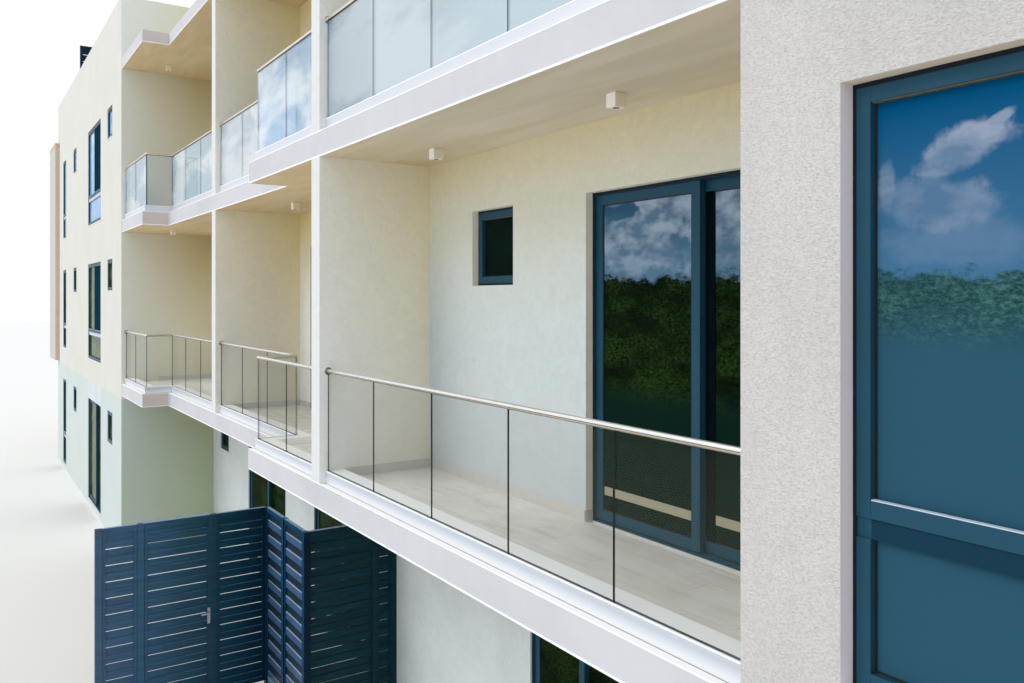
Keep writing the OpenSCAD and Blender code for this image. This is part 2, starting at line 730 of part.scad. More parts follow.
module balcony_glass() {
  z0 = channel_floor - ledge_drop;
  color(clear_glass, 0.4) on_both_floors()
    translate([0, 0, z0]) linear_extrude(rail_z - rail_d / 2 - z0) difference() {
      edge_strip(glass_s, glass_t);
      panel_joints();
    }
}
// A straight round bar between two points of one level
module bar(a, b) {
  d = b - a;
  translate([a[0], a[1], 0]) rotate([0, 90, atan2(d[1], d[0])])
    cylinder(h = norm(d), d = rail_d);
}
module rail_run(points) {
  last = len(points) - 1;
  for (k = [0:last - 1]) bar(points[k], points[k + 1]);
  for (k = [1:1:last - 1]) translate([points[k][0], points[k][1], 0]) sphere(d = rail_d);
  rail_end(points[0], points[1]);
  rail_end(points[last], points[last - 1]);
}
// Round plate that fixes a rail's end to the wall
module rail_end(a, b) {
  d = b - a;
  translate([a[0], a[1], 0]) rotate([0, 90, atan2(d[1], d[0])])
    cylinder(h = rail_plate_t, d = rail_plate_d);
}
module handrails() {
  color(steel) on_both_floors() translate([0, 0, rail_z]) {
    rail_run([[x_far_r, y_outer + rail_s], [x_step1 - rail_s, y_outer + rail_s],
      [x_step1 - rail_s, y_inner + rail_s], [x_fin_a, y_inner + rail_s]]);
    rail_run([[x_bay2, y_inner + rail_s], [x_step2 + rail_s, y_inner + rail_s],
      [x_step2 + rail_s, y_outer + rail_s], [x_fin_b, y_outer + rail_s]]);
    rail_run([[x_bay3, y_outer + rail_s], [x_near_l, y_outer + rail_s]]);
    rail_run([[x_gable + rail_s, y_gable_in], [x_gable + rail_s, y_gable_out]]);
  }
}

// Windows and fixed doors
module frames_of(list, r = reveal_d) { for (o = list) if (o[4] <= BIG) window_frame(o, r); }
module glass_of(list, r = reveal_d) { for (o = list) if (o[4] <= BIG) window_glass(o, r); }
// The far block's ground-floor door is a sliding one, so no window there
far_windows = [for (o = far_openings) if (!(o[4] == BIG && o[3] < band_z)) o];
module front_window_frames() {
  color(anthracite) {
    at_far_front() frames_of(far_windows, far_reveal_d);
    at_near_front() frames_of(near_openings);
  }
}
module front_window_glass() {
  color(clear_glass) {
    at_far_front() glass_of(far_windows, far_reveal_d);
    at_near_front() glass_of(near_openings);
  }
}
upper_bay_openings = concat(bay_openings(1), bay_openings(2));
upper_bay3_openings = concat(bay3_openings(1), bay3_openings(2));
module bay_window_frames() {
  color(anthracite) {
    at_low() frames_of(bay_low_windows, low_reveal_d);
    at_bay() frames_of(upper_bay_openings, bay_reveal_d);
    at_bay3() frames_of(upper_bay3_openings, bay_reveal_d);
  }
}
module bay_window_glass() {
  color(clear_glass) {
    at_low() glass_of(bay_low_windows, low_reveal_d);
    at_bay() glass_of(upper_bay_openings, bay_reveal_d);
    at_bay3() glass_of(upper_bay3_openings, bay_reveal_d);
  }
}
module end_window_frames() {
  color(anthracite) { at_far_end() frames_of(far_end_openings); at_near_end() frames_of(near_end_openings); }
}
module end_window_glass() {
  color(clear_glass) { at_far_end() glass_of(far_end_openings); at_near_end() glass_of(near_end_openings); }
}
module rear_window_frames() { color(anthracite) at_rear() frames_of(rear_openings); }
module rear_window_glass() { color(clear_glass) at_rear() glass_of(rear_openings); }

// Both leaves of an upper door stand fixed in its frame
module fixed_slider_frames(w) {
  lw = (w - 2 * jamb_w + stile_w) / 2;
  slider_frame(w);
  fixed_leaf_place() fixed_leaf(lw);
  translate([w - jamb_w - lw, inner_track, jamb_w + track_h]) fixed_leaf(lw);
}
fixed_leaf_h = door_h - 2 * jamb_w - track_h;
module fixed_leaf(w) { ring(w, fixed_leaf_h, stile_w, leaf_t); }
module fixed_pane(w) {
  translate([stile_w, (leaf_t - pane_t) / 2, stile_w])
    cube([w - 2 * stile_w, pane_t, fixed_leaf_h - 2 * stile_w]);
}
module fixed_slider_glass(w) {
  lw = (w - 2 * jamb_w + stile_w) / 2;
  fixed_leaf_place() fixed_pane(lw);
  translate([w - jamb_w - lw, inner_track, jamb_w + track_h]) fixed_pane(lw);
}
module upper_doors_of(list) {
  for (o = list) if (o[4] == SLIDER)
    translate([o[0], bay_reveal_d, o[2]]) { $w = o[1]; children(); }
}
module upper_doors() {
  at_bay() upper_doors_of(upper_bay_openings) children();
  at_bay3() upper_doors_of(upper_bay3_openings) children();
  at_far_end() upper_doors_of(far_end_openings) children();
}
module upper_door_frames() { color(anthracite) upper_doors() fixed_slider_frames($w); }
module upper_door_glass() { color(clear_glass) upper_doors() fixed_slider_glass($w); }

// Ground-floor sliding doors
module at_door(d) { translate([d[0], d[2] + low_reveal_d, plinth_h]) children(); }
module ground_door_frames() {
  color(anthracite) for (d = DOORS) at_door(d) slider_frame(d[1]);
}
module ground_fixed_leaves() {
  color(anthracite) for (d = DOORS) at_door(d) fixed_leaf_place() fixed_leaf(leaf_w(d));
}
module ground_door_glass() {
  color(clear_glass) for (d = DOORS) at_door(d) fixed_leaf_place() fixed_pane(leaf_w(d));
}
module sliding_leaf(d) {
  color(anthracite) sliding_leaf_place(d) {
    leaf_frame(leaf_w(d));
    pull_bar(leaf_w(d));
  }
}
module sliding_pane(d) { color(clear_glass) sliding_leaf_place(d) leaf_pane(leaf_w(d)); }
module door_leaf_a() { sliding_leaf(door_a); }
module door_pane_a() { sliding_pane(door_a); }
module door_leaf_b() { sliding_leaf(door_b); }
module door_pane_b() { sliding_pane(door_b); }
module door_leaf_c() { sliding_leaf(door_c); }
module door_pane_c() { sliding_pane(door_c); }
module door_leaf_d() { sliding_leaf(door_d); }
module door_pane_d() { sliding_pane(door_d); }

// Cube lights under the balcony soffits and the canopy
paired_lights = [for (k = [0:1]) each [
  [x_bay2 + bay2_light_edge + k * light_pitch, y_bay - bay2_light_out],
  [x_bay3 + bay3_light_edge + k * light_pitch, y_bay3 - bay3_light_out]]];
module lights_under(z, bay1_edge) {
  for (p = concat([[x_far_r + bay1_edge, y_bay - bay1_light_out]], paired_lights))
    translate([p[0] - light_w / 2, p[1] - light_w / 2, z - light_w]) cube(light_w);
}
module soffit_lights() {
  color(white_paint) {
    lights_under(floor_z(2) - slab_t, bay1_light_edge);
    lights_under(z_roof, bay1_canopy_light_edge);
  }
}

// Slatted panel in the XZ plane: frame with level slats
module slatted_panel(w, h, side = screen_stile_w) {
  inner_w = w - 2 * side;
  inner_h = h - 2 * screen_rail_w;
  n = floor((inner_h + slat_gap) / (slat_h + slat_gap));
  pitch = (inner_h + slat_gap) / n;
  difference() {
    cube([w, screen_t, h]);
    translate([side, -e, screen_rail_w]) cube([inner_w, screen_t + 2 * e, inner_h]);
  }
  for (k = [0:n - 1])
    translate([side, 0, screen_rail_w + k * pitch]) slat(inner_w, pitch - slat_gap);
}
// A slat folded from sheet, its lower half proud towards the front
module slat(w, h) {
  y_front_half = (screen_t - slat_t - slat_step) / 2;
  translate([0, y_front_half, 0]) cube([w, slat_t, h / 2]);
  translate([0, y_front_half + slat_step, h / 2 - slat_t / 2]) cube([w, slat_t, (h + slat_t) / 2]);
}
// Roof screen: a leg that runs back from the front, and a leg from its end towards the gable
module roof_screen() {
  w = roof_screen_w;
  back = w - post_w;
  color(navy) translate([x_far_l + roof_screen_edge, y_front + wall_t + roof_screen_inset, z_roof_top]) {
    rotate([0, 0, 90]) slatted_panel(w, roof_screen_h);
    translate([-w, w, 0]) slatted_panel(w, roof_screen_h);
    for (p = [[-screen_t - post_w, 0], [-screen_t - post_w, back], [-w, back]])
      translate(p) cube([post_w, post_w, roof_screen_h]);
  }
}

// Terrace screen: a stretch with the gate, a cross stretch, and one back to the wall
module screen_post(x, y) { translate([x, y, 0]) cube([post_w, post_w, screen_h]); }
x_post3 = x_screen2 - post_w;
x_mid_post = x_screen1 + screen_mid_edge;
y_wall_post = y_low - post_w;
y_back_post = y_wall_post - wall_panel_l - post_w;
module screen_posts() {
  color(navy) {
    screen_post(x_screen1, y_screen_end);
    screen_post(x_screen1, y_gate - move_gap - post_w);
    screen_post(x_screen1, y_gate_post);
    for (x = [x_screen1, x_mid_post, x_post3]) screen_post(x, y_screen);
    for (y = [y_back_post, y_wall_post]) screen_post(x_post3, y);
    // Lower hinge barrels with their pins, on an arm from the post
    for (z = hinge_levels) translate([x_hinge, y_hinge, z - hinge_h - seat_gap]) {
      cylinder(h = hinge_h, d = hinge_d);
      translate([0, -hinge_d / 2, 0]) cube([x_screen1 - x_hinge + e, hinge_d / 2 - move_gap / 2, hinge_h]);
      cylinder(h = 2 * hinge_h - move_gap, d = hinge_pin_d);
    }
  }
}
hinge_levels = [screen_foot + hinge_edge, screen_h - hinge_edge];
x_hinge = x_screen1 - hinge_d / 2 - e;
y_hinge = y_gate - move_gap / 2;
// Play of a hinge barrel on its pin
pin_play = 0.1;
panel_h = screen_h - screen_foot;
module panel_x(x0, x1) {
  translate([x0, y_screen + (post_w - screen_t) / 2, screen_foot]) slatted_panel(x1 - x0, panel_h);
}
module panel_y(x, y0, y1, side = screen_stile_w) {
  translate([x + (post_w + screen_t) / 2, y0, screen_foot]) rotate([0, 0, 90])
    slatted_panel(y1 - y0, panel_h, side);
}
module screen_panels() {
  color(navy) {
    panel_y(x_screen1, y_screen_end + post_w, y_gate - move_gap - post_w);
    panel_y(x_screen1, y_gate_post + post_w, y_screen);
    panel_x(x_screen1 + post_w, x_mid_post);
    panel_x(x_mid_post + post_w, x_post3);
    panel_y(x_post3, y_screen + post_w, y_back_post, back_stile_w);
    panel_y(x_post3, y_back_post + post_w, y_wall_post, back_stile_w);
  }
}
module gate_leaf() {
  color(navy) {
    panel_y(x_screen1, y_gate, y_gate + gate_w);
    // Upper hinge barrels, on an arm from the leaf
    for (z = hinge_levels) translate([x_hinge, y_hinge, z]) difference() {
      union() {
        cylinder(h = hinge_h, d = hinge_d);
        translate([0, move_gap / 2, 0])
          cube([x_screen1 + (post_w - screen_t) / 2 - x_hinge, hinge_d / 2 - move_gap / 2, hinge_h]);
      }
      translate([0, 0, -e]) cylinder(h = hinge_h + 2 * e, d = hinge_pin_d + 2 * pin_play);
    }
  }
}
// Lever and plate on both faces of the gate
module lever_set() {
  translate([0, -plate_w / 2, -plate_h / 2 - plate_drop]) cube([plate_t, plate_w, plate_h]);
  rotate([0, 90, 0]) cylinder(h = lever_out, d = lever_d);
  translate([lever_out - lever_t, -lever_l, -lever_d / 2]) cube([lever_t, lever_l, lever_d]);
}
module gate_handle() {
  color(steel) translate([x_screen1 + post_w / 2, y_gate + gate_w - screen_stile_w / 2, lever_z]) {
    translate([screen_t / 2, 0, 0]) lever_set();
    mirror([1, 0, 0]) translate([screen_t / 2, 0, 0]) lever_set();
  }
}

ground_slab();
first_floor_slab();
second_floor_slab();
roof_slab();
far_front_wall();
far_front_piers();
far_end_wall();
far_side_wall();
near_front_wall();
near_end_wall();
near_side_wall();
rear_wall();
bay_ground_piers();
ground_lintels();
first_bay_walls();
second_bay_walls();
middle_parapet();
bay_fins();
gable_fins();
balcony_kerbs();
glass_channels();
balcony_glass();
handrails();
front_window_frames();
front_window_glass();
bay_window_frames();
bay_window_glass();
end_window_frames();
end_window_glass();
rear_window_frames();
rear_window_glass();
upper_door_frames();
upper_door_glass();
ground_door_frames();
ground_fixed_leaves();
ground_door_glass();
door_leaf_a();
door_pane_a();
door_leaf_b();
door_pane_b();
door_leaf_c();
door_pane_c();
door_leaf_d();
door_pane_d();
soffit_lights();
roof_screen();
screen_posts();
screen_panels();
gate_leaf();
gate_handle();
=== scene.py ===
"""Looks of a three-storey apartment block: its finishes, trim, floors, studio and camera."""
import json
import math

import bmesh
import bpy
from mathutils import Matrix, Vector


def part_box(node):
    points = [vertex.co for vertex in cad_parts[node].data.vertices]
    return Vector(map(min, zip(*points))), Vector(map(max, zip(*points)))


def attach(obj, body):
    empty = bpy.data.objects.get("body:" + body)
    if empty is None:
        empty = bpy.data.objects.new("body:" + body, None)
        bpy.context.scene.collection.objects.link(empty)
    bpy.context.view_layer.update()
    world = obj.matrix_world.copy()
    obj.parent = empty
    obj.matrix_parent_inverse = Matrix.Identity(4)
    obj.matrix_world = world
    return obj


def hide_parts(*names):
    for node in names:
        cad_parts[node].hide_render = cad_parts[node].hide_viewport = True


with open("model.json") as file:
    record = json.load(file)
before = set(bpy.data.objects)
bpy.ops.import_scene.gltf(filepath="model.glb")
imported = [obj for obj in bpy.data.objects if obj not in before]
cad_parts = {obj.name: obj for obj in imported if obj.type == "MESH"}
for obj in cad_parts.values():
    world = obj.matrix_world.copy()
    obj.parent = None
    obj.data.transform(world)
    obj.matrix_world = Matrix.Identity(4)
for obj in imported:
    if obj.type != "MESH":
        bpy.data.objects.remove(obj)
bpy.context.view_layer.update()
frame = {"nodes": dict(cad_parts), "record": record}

NODES = frame["nodes"]
SLOTS = {part["node"]: part["material_slot"] for part in frame["record"]["subparts"]}

# Camera, solved from the photograph's perspective
IMAGE_W, IMAGE_H = 1024, 683
FOCAL_PX = 857
HORIZON_V = 297.6
CAMERA_PLACE = (11.56, -7.95, 4.82)
CAMERA_YAW = math.radians(33.2)
SENSOR = 36


def make_camera():
    """Level camera that looks along the balconies, shifted down instead of tilted."""
    data = bpy.data.cameras.new("photo_camera")
    data.sensor_width = SENSOR
    data.lens = FOCAL_PX / IMAGE_W * SENSOR
    data.shift_y = (HORIZON_V - IMAGE_H / 2) / IMAGE_W
    data.clip_end = 400
    camera = bpy.data.objects.new("photo_camera", data)
    camera.location = CAMERA_PLACE
    camera.rotation_euler = (math.pi / 2, 0, math.pi / 2 - CAMERA_YAW)
    bpy.context.scene.collection.objects.link(camera)
    bpy.context.scene.camera = camera


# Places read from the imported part, in metres

# Distance within which the loose corners of a CAD node's triangles are joined
MERGE = 0.00002


def joined(node):
    """A CAD node's mesh for reading, with its loose triangles joined."""
    build = bmesh.new()
    build.from_mesh(NODES[node].data)
    bmesh.ops.remove_doubles(build, verts=build.verts, dist=MERGE)
    return build


def box_round(verts):
    """Lowest and highest corner of the box round some vertices."""
    return tuple(Vector([pick(v.co[i] for v in verts) for i in range(3)]) for pick in (min, max))


def solids(node):
    """Lowest and highest corner of each separate solid of a CAD node."""
    build = joined(node)
    left = set(build.verts)
    found = []
    while left:
        group = [left.pop()]
        for vert in group:
            for edge in vert.link_edges:
                other = edge.other_vert(vert)
                if other in left:
                    left.remove(other)
                    group.append(other)
        found.append(box_round(group))
    build.free()
    return sorted(found, key=lambda b: [round(c, 3) for c in (*b[0], *b[1])])


def level_faces(node):
    """Lowest and highest corner of each upward face of a CAD node."""
    build = joined(node)
    bmesh.ops.dissolve_limit(build, angle_limit=0.01, verts=build.verts, edges=build.edges)
    found = [box_round(face.verts) for face in build.faces if face.normal.z > 0.99]
    build.free()
    return found


first_low, first_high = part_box("first_floor_slab")
second_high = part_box("second_floor_slab")[1]
roof_low, roof_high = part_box("roof_slab")
storey = second_high.z - first_high.z
floors = [first_high.z - storey, first_high.z, second_high.z]
slab_depth = first_high.z - first_low.z
front_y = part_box("far_front_wall")[0].y
rear_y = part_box("rear_wall")[1].y
far_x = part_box("far_front_wall")[0].x
far_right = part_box("far_side_wall")[1].x
near_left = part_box("near_side_wall")[0].x
near_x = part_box("near_front_wall")[1].x
top_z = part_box("far_front_wall")[1].z
band_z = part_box("far_front_wall")[0].z
wall_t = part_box("far_side_wall")[1].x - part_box("far_side_wall")[0].x
fin_a, fin_b = solids("bay_fins")[0], solids("bay_fins")[-1]
inner_y, outer_y = fin_a[0].y, fin_b[0].y
bay_walls = solids("first_bay_walls")
deep_y, third_y = bay_walls[0][0].y, bay_walls[1][0].y
gable_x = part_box("gable_fins")[0].x
gable_fin_boxes = solids("gable_fins")
gable_y0, gable_y1 = gable_fin_boxes[0][1].y, gable_fin_boxes[-1][0].y
slab_edge_x = sorted({round(v.co.x, 4) for v in NODES["first_floor_slab"].data.vertices
                      if abs(v.co.y - outer_y) < 0.001 and abs(v.co.z - first_low.z) < 0.001})
step_1, step_2 = slab_edge_x[1], slab_edge_x[2]
channel_boxes = solids("glass_channels")
channel_top = max(b[1].z for b in channel_boxes if b[1].z < floors[2]) - floors[1]
ledge_drop = floors[1] - min(b[0].z for b in channel_boxes)
kerb_depth = [high.y for low, high in solids("balcony_kerbs") if low.x > fin_b[0].x][0] - outer_y


# Nodes

def add(tree, kind, settings=None, **inputs):
    """Adds a node: settings are its attributes, inputs are values or outputs that are linked.
    An input is named with _ for a space, or by its number after an n. The setting "stops"
    gives a colour ramp its places and colours."""
    node = tree.nodes.new(kind)
    for name, value in (settings or {}).items():
        if name == "stops":
            elements = node.color_ramp.elements
            while len(elements) < len(value):
                elements.new(1)
            for element, (place, code) in zip(elements, value):
                element.position = place
                element.color = rgb(code) if isinstance(code, str) else (code, code, code, 1)
        else:
            setattr(node, name, value)
    for name, value in inputs.items():
        key = int(name[1:]) if name[1:].isdigit() else name.replace("_", " ")
        if isinstance(value, bpy.types.NodeSocket):
            tree.links.new(value, node.inputs[key])
        else:
            node.inputs[key].default_value = value
    return node


def rgb(code):
    """Linear colour of an sRGB hex value."""
    parts = [int(code[i:i + 2], 16) / 255 for i in (1, 3, 5)]
    return [p / 12.92 if p <= 0.04045 else ((p + 0.055) / 1.055) ** 2.4 for p in parts] + [1]


def new_material(name, **values):
    """A material with its Principled shader, whose constant values are set on its own sockets."""
    material = bpy.data.materials.new(name)
    material.use_nodes = True
    tree = material.node_tree
    shader = tree.nodes["Principled BSDF"]
    for key, value in values.items():
        shader.inputs[key.replace("_", " ")].default_value = value
    place = add(tree, "ShaderNodeTexCoord").outputs["Object"]
    return material, tree, shader, place


MATH = "ShaderNodeMath"
MIX = "ShaderNodeMix"
NOISE = "ShaderNodeTexNoise"
RANGE = "ShaderNodeMapRange"
SPLIT = "ShaderNodeSeparateXYZ"
RAMP = "ShaderNodeValToRGB"
BUMP = "ShaderNodeBump"
MAPPING = "ShaderNodeMapping"
HUE = "ShaderNodeHueSaturation"
COLOUR = {"data_type": "RGBA"}


def facing(tree):
    """Parts of the surface's own direction: X, Y and Z."""
    normal = add(tree, "ShaderNodeNewGeometry").outputs["Normal"]
    return add(tree, SPLIT, Vector=normal).outputs


def looking(tree, axis):
    """How far the surface looks along an axis, either way, from 0 to 1."""
    return add(tree, MATH, {"operation": "ABSOLUTE"}, n0=facing(tree)[axis]).outputs[0]


def storey_height(tree, place):
    """Height over the floor of the storey that a point lies in."""
    height = add(tree, SPLIT, Vector=place).outputs["Z"]
    raised = add(tree, MATH, {"operation": "SUBTRACT"}, n0=height, n1=floors[0])
    return add(tree, MATH, {"operation": "FLOORED_MODULO"}, n0=raised.outputs[0], n1=storey).outputs[0]


def weathered(tree, place, light, dark, runs=0.35):
    """Tone of a painted wall: broad clouds and faint upright runs between two colours."""
    cloud = add(tree, NOISE, Vector=place, Scale=1.1, Detail=6, Roughness=0.62).outputs["Fac"]
    stretched = add(tree, MAPPING, Vector=place, Scale=(6, 6, 0.35))
    run = add(tree, NOISE, Vector=stretched.outputs[0], Scale=1, Detail=4).outputs["Fac"]
    both = add(tree, MIX, Factor=runs, A=cloud, B=run).outputs["Result"]
    share = add(tree, RANGE, Value=both, From_Min=0.36, From_Max=0.6).outputs[0]
    return add(tree, MIX, COLOUR, Factor=share, A=rgb(dark), B=rgb(light)).outputs["Result"]


def relief(tree, shader, place, scale, detail, distance, strength):
    """Adds fine grains to the surface, or drawn lines where the place is stretched."""
    grain = add(tree, NOISE, Vector=place, Scale=scale, Detail=detail).outputs["Fac"]
    bump = add(tree, BUMP, Height=grain, Distance=distance, Strength=strength)
    tree.links.new(bump.outputs[0], shader.inputs["Normal"])


def sprayed_render():
    """Sprayed render on the near block: a relief of 3 to 6 mm grains with painted shade in their small
    pits, and soft trowel sweeps, so the wall looks like grainy off-white paper. The reveals are floated
    smooth: lavender-grey sides, and a head painted tan as shade."""
    material, tree, shader, place = new_material("sprayed_render", Roughness=0.92, Specular_IOR_Level=0.2)
    spot = add(tree, SPLIT, Vector=place).outputs
    tone = weathered(tree, place, "#E5E2DF", "#DBD8D7")
    swept = add(tree, MAPPING, Vector=place, Scale=(0.75, 1, 1.25)).outputs[0]
    lump = add(tree, NOISE, Vector=swept, Scale=1000 / 9, Detail=4, Roughness=0.7,
               Distortion=0.35).outputs["Fac"]
    shade = add(tree, RANGE, Value=lump, From_Min=0.28, From_Max=0.56, To_Min=0.1, To_Max=1.0).outputs[0]
    axes = facing(tree)
    across = add(tree, MATH, {"operation": "ABSOLUTE"}, n0=axes["Y"]).outputs[0]
    sideways = add(tree, MATH, {"operation": "ABSOLUTE"}, n0=axes["X"]).outputs[0]
    end_wall = add(tree, MATH, {"operation": "GREATER_THAN"}, n0=sideways, n1=0.5).outputs[0]
    outermost = add(tree, MATH, {"operation": "GREATER_THAN"}, n0=spot["X"],
                    n1=near_x - wall_t - 0.01)
    end_wall = add(tree, MATH, {"operation": "MULTIPLY"}, n0=end_wall, n1=outermost.outputs[0]).outputs[0]
    rough = add(tree, MATH, {"operation": "MAXIMUM"}, n0=across, n1=end_wall).outputs[0]
    head = add(tree, MATH, {"operation": "LESS_THAN"}, n0=axes["Z"], n1=-0.5).outputs[0]
    # Painted shade: the grains' pits are darkened towards grey.
    pitted = add(tree, MIX, COLOUR, Factor=shade, A=rgb("#C2BEB9"), B=tone).outputs["Result"]
    floated = add(tree, MIX, COLOUR, Factor=0.75, A=tone, B=rgb("#EDE0E2")).outputs["Result"]
    # Painted shade: the reveal's head, which looks down, is tan.
    floated = add(tree, MIX, COLOUR, Factor=head, A=floated, B=rgb("#EAD9BF")).outputs["Result"]
    colour = add(tree, MIX, COLOUR, Factor=rough, A=floated, B=pitted).outputs["Result"]
    tree.links.new(colour, shader.inputs["Base Color"])
    strength = add(tree, RANGE, Value=rough, To_Min=0.08, To_Max=1.0).outputs[0]
    bump = add(tree, BUMP, Height=lump, Distance=0.012, Strength=strength)
    tree.links.new(bump.outputs[0], shader.inputs["Normal"])
    return material


def finish_wall(tree, shader, place, tone, patchy=0.03):
    """Adds a painted wall's surface: an orange peel of about 5 mm and trowel sweeps of 0.1 m."""
    peel = add(tree, NOISE, Vector=place, Scale=1000 / 9, Detail=3, Roughness=0.7).outputs["Fac"]
    sweep = add(tree, NOISE, Vector=place, Scale=7, Detail=4, Distortion=1.5).outputs["Fac"]
    speck = add(tree, RANGE, Value=peel, From_Min=0.3, From_Max=0.7, To_Min=0.94, To_Max=1.05).outputs[0]
    patch = add(tree, RANGE, Value=sweep, From_Min=0.3, From_Max=0.7, To_Min=1 - patchy,
                To_Max=1 + patchy).outputs[0]
    both = add(tree, MATH, {"operation": "MULTIPLY"}, n0=speck, n1=patch).outputs[0]
    speckled = add(tree, HUE, Color=tone, Value=both).outputs[0]
    tree.links.new(speckled, shader.inputs["Base Color"])
    fine = add(tree, BUMP, Height=peel, Distance=0.0025, Strength=0.9)
    broad = add(tree, BUMP, Height=sweep, Distance=0.012, Strength=0.3, Normal=fine.outputs[0])
    tree.links.new(broad.outputs[0], shader.inputs["Normal"])


# Height over the floor at which a flank's painted light at its foot starts to give way to the painted light
# at its head
FLANK_FOOT = 0.8


def flank_painted_light(tree, place, low_stops, high_stops):
    """Painted light and shade on a side face inside a balcony: two ramps from its outer edge inwards, one
    for its foot and one for its head, mixed by the height over the floor, standing for shade and bounced
    light."""
    spot = add(tree, SPLIT, Vector=place).outputs
    inward = add(tree, RANGE, Value=spot["Y"], From_Min=outer_y, From_Max=deep_y).outputs[0]
    level = add(tree, RANGE, Value=storey_height(tree, place), From_Min=FLANK_FOOT,
                From_Max=storey - slab_depth).outputs[0]
    low = add(tree, RAMP, {"stops": low_stops}, Fac=inward).outputs[0]
    high = add(tree, RAMP, {"stops": high_stops}, Fac=inward).outputs[0]
    return add(tree, MIX, COLOUR, Factor=level, A=low, B=high).outputs["Result"]


def block_render():
    """Painted fine render on the far block and the rear: off-white fronts, flanks that turn to warm straw
    under the balcony ceilings as painted shade and bounced light, and a cooler, greener white below the band,
    whose flanks carry painted shade and green bounced light."""
    material, tree, shader, place = new_material("block_render", Roughness=0.88, Specular_IOR_Level=0.25)
    spot = add(tree, SPLIT, Vector=place).outputs
    flank = looking(tree, "X")
    above = add(tree, MATH, {"operation": "GREATER_THAN"}, n0=spot["Z"], n1=band_z).outputs[0]
    front = weathered(tree, place, "#D6D6CE", "#D3D3CA", 0)
    low_front = weathered(tree, place, "#CAD3D1", "#C7D0CE", 0)
    # Painted shade and bounced light on the upper flanks.
    side = flank_painted_light(tree, place, [(0, "#DDE0D8"), (0.5, "#DCD9C8"), (0.85, "#DDD6B9")],
                      [(0, "#E0E2D8"), (0.5, "#D6CEB4"), (0.85, "#C8BC90")])
    # Painted shade and green light bounced from plants on the ground floor's flanks.
    low_side = flank_painted_light(tree, place, [(0, "#BCC9BA"), (1, "#B4C0A2")], [(0, "#C2D0CC"), (1, "#A8B08C")])
    upper = add(tree, MIX, COLOUR, Factor=flank, A=front, B=side).outputs["Result"]
    lower = add(tree, MIX, COLOUR, Factor=flank, A=low_front, B=low_side).outputs["Result"]
    tone = add(tree, MIX, COLOUR, Factor=above, A=lower, B=upper).outputs["Result"]
    finish_wall(tree, shader, place, tone, 0.012)
    return material


def recess_render():
    """Painted render at the back of the balconies, with painted light: cool white near the floor and warm
    cream under the ceiling for light bounced from the soffits, lighter and creamier in the two deep bays to
    lift their shade, and reveals lifted to a light cream."""
    material, tree, shader, place = new_material("recess_render", Roughness=0.88, Specular_IOR_Level=0.25)
    spot = add(tree, SPLIT, Vector=place).outputs
    height = storey_height(tree, place)
    share = add(tree, RANGE, Value=height, To_Max=1.0, From_Min=0.0, From_Max=storey - slab_depth).outputs[0]
    # Painted light: cool at the floor, warm under the soffits.
    near = add(tree, RAMP,
               {"stops": [(0.0, "#C7CFD1"), (0.42, "#C7D0D0"), (0.63, "#D0D6D1"), (0.86, "#DFDCC6"),
                          (1.0, "#E0D3AE")]},
               Fac=share).outputs[0]
    deep = add(tree, RAMP,
               {"stops": [(0.0, "#EEF1EC"), (0.45, "#F0F1E8"), (0.7, "#EFEBD6"), (1.0, "#E6D49B")]},
               Fac=share).outputs[0]
    # Painted light: the two deep bays are lighter to lift their shade.
    inward = add(tree, RANGE, Value=spot["Y"], From_Min=third_y, From_Max=deep_y).outputs[0]
    tone = add(tree, MIX, COLOUR, Factor=inward, A=near, B=deep).outputs["Result"]
    # Painted light: faces that look sideways, such as the reveals, are lifted to a light cream.
    across = looking(tree, "Y")
    tone = add(tree, MIX, COLOUR, Factor=across, A=rgb("#F3ECDA"), B=tone).outputs["Result"]
    finish_wall(tree, shader, place, tone)
    return material


def painted_render(name, light, dark):
    """Painted fine render of one tone."""
    material, tree, shader, place = new_material(name, Roughness=0.88, Specular_IOR_Level=0.25)
    finish_wall(tree, shader, place, weathered(tree, place, light, dark, 0.15))
    return material


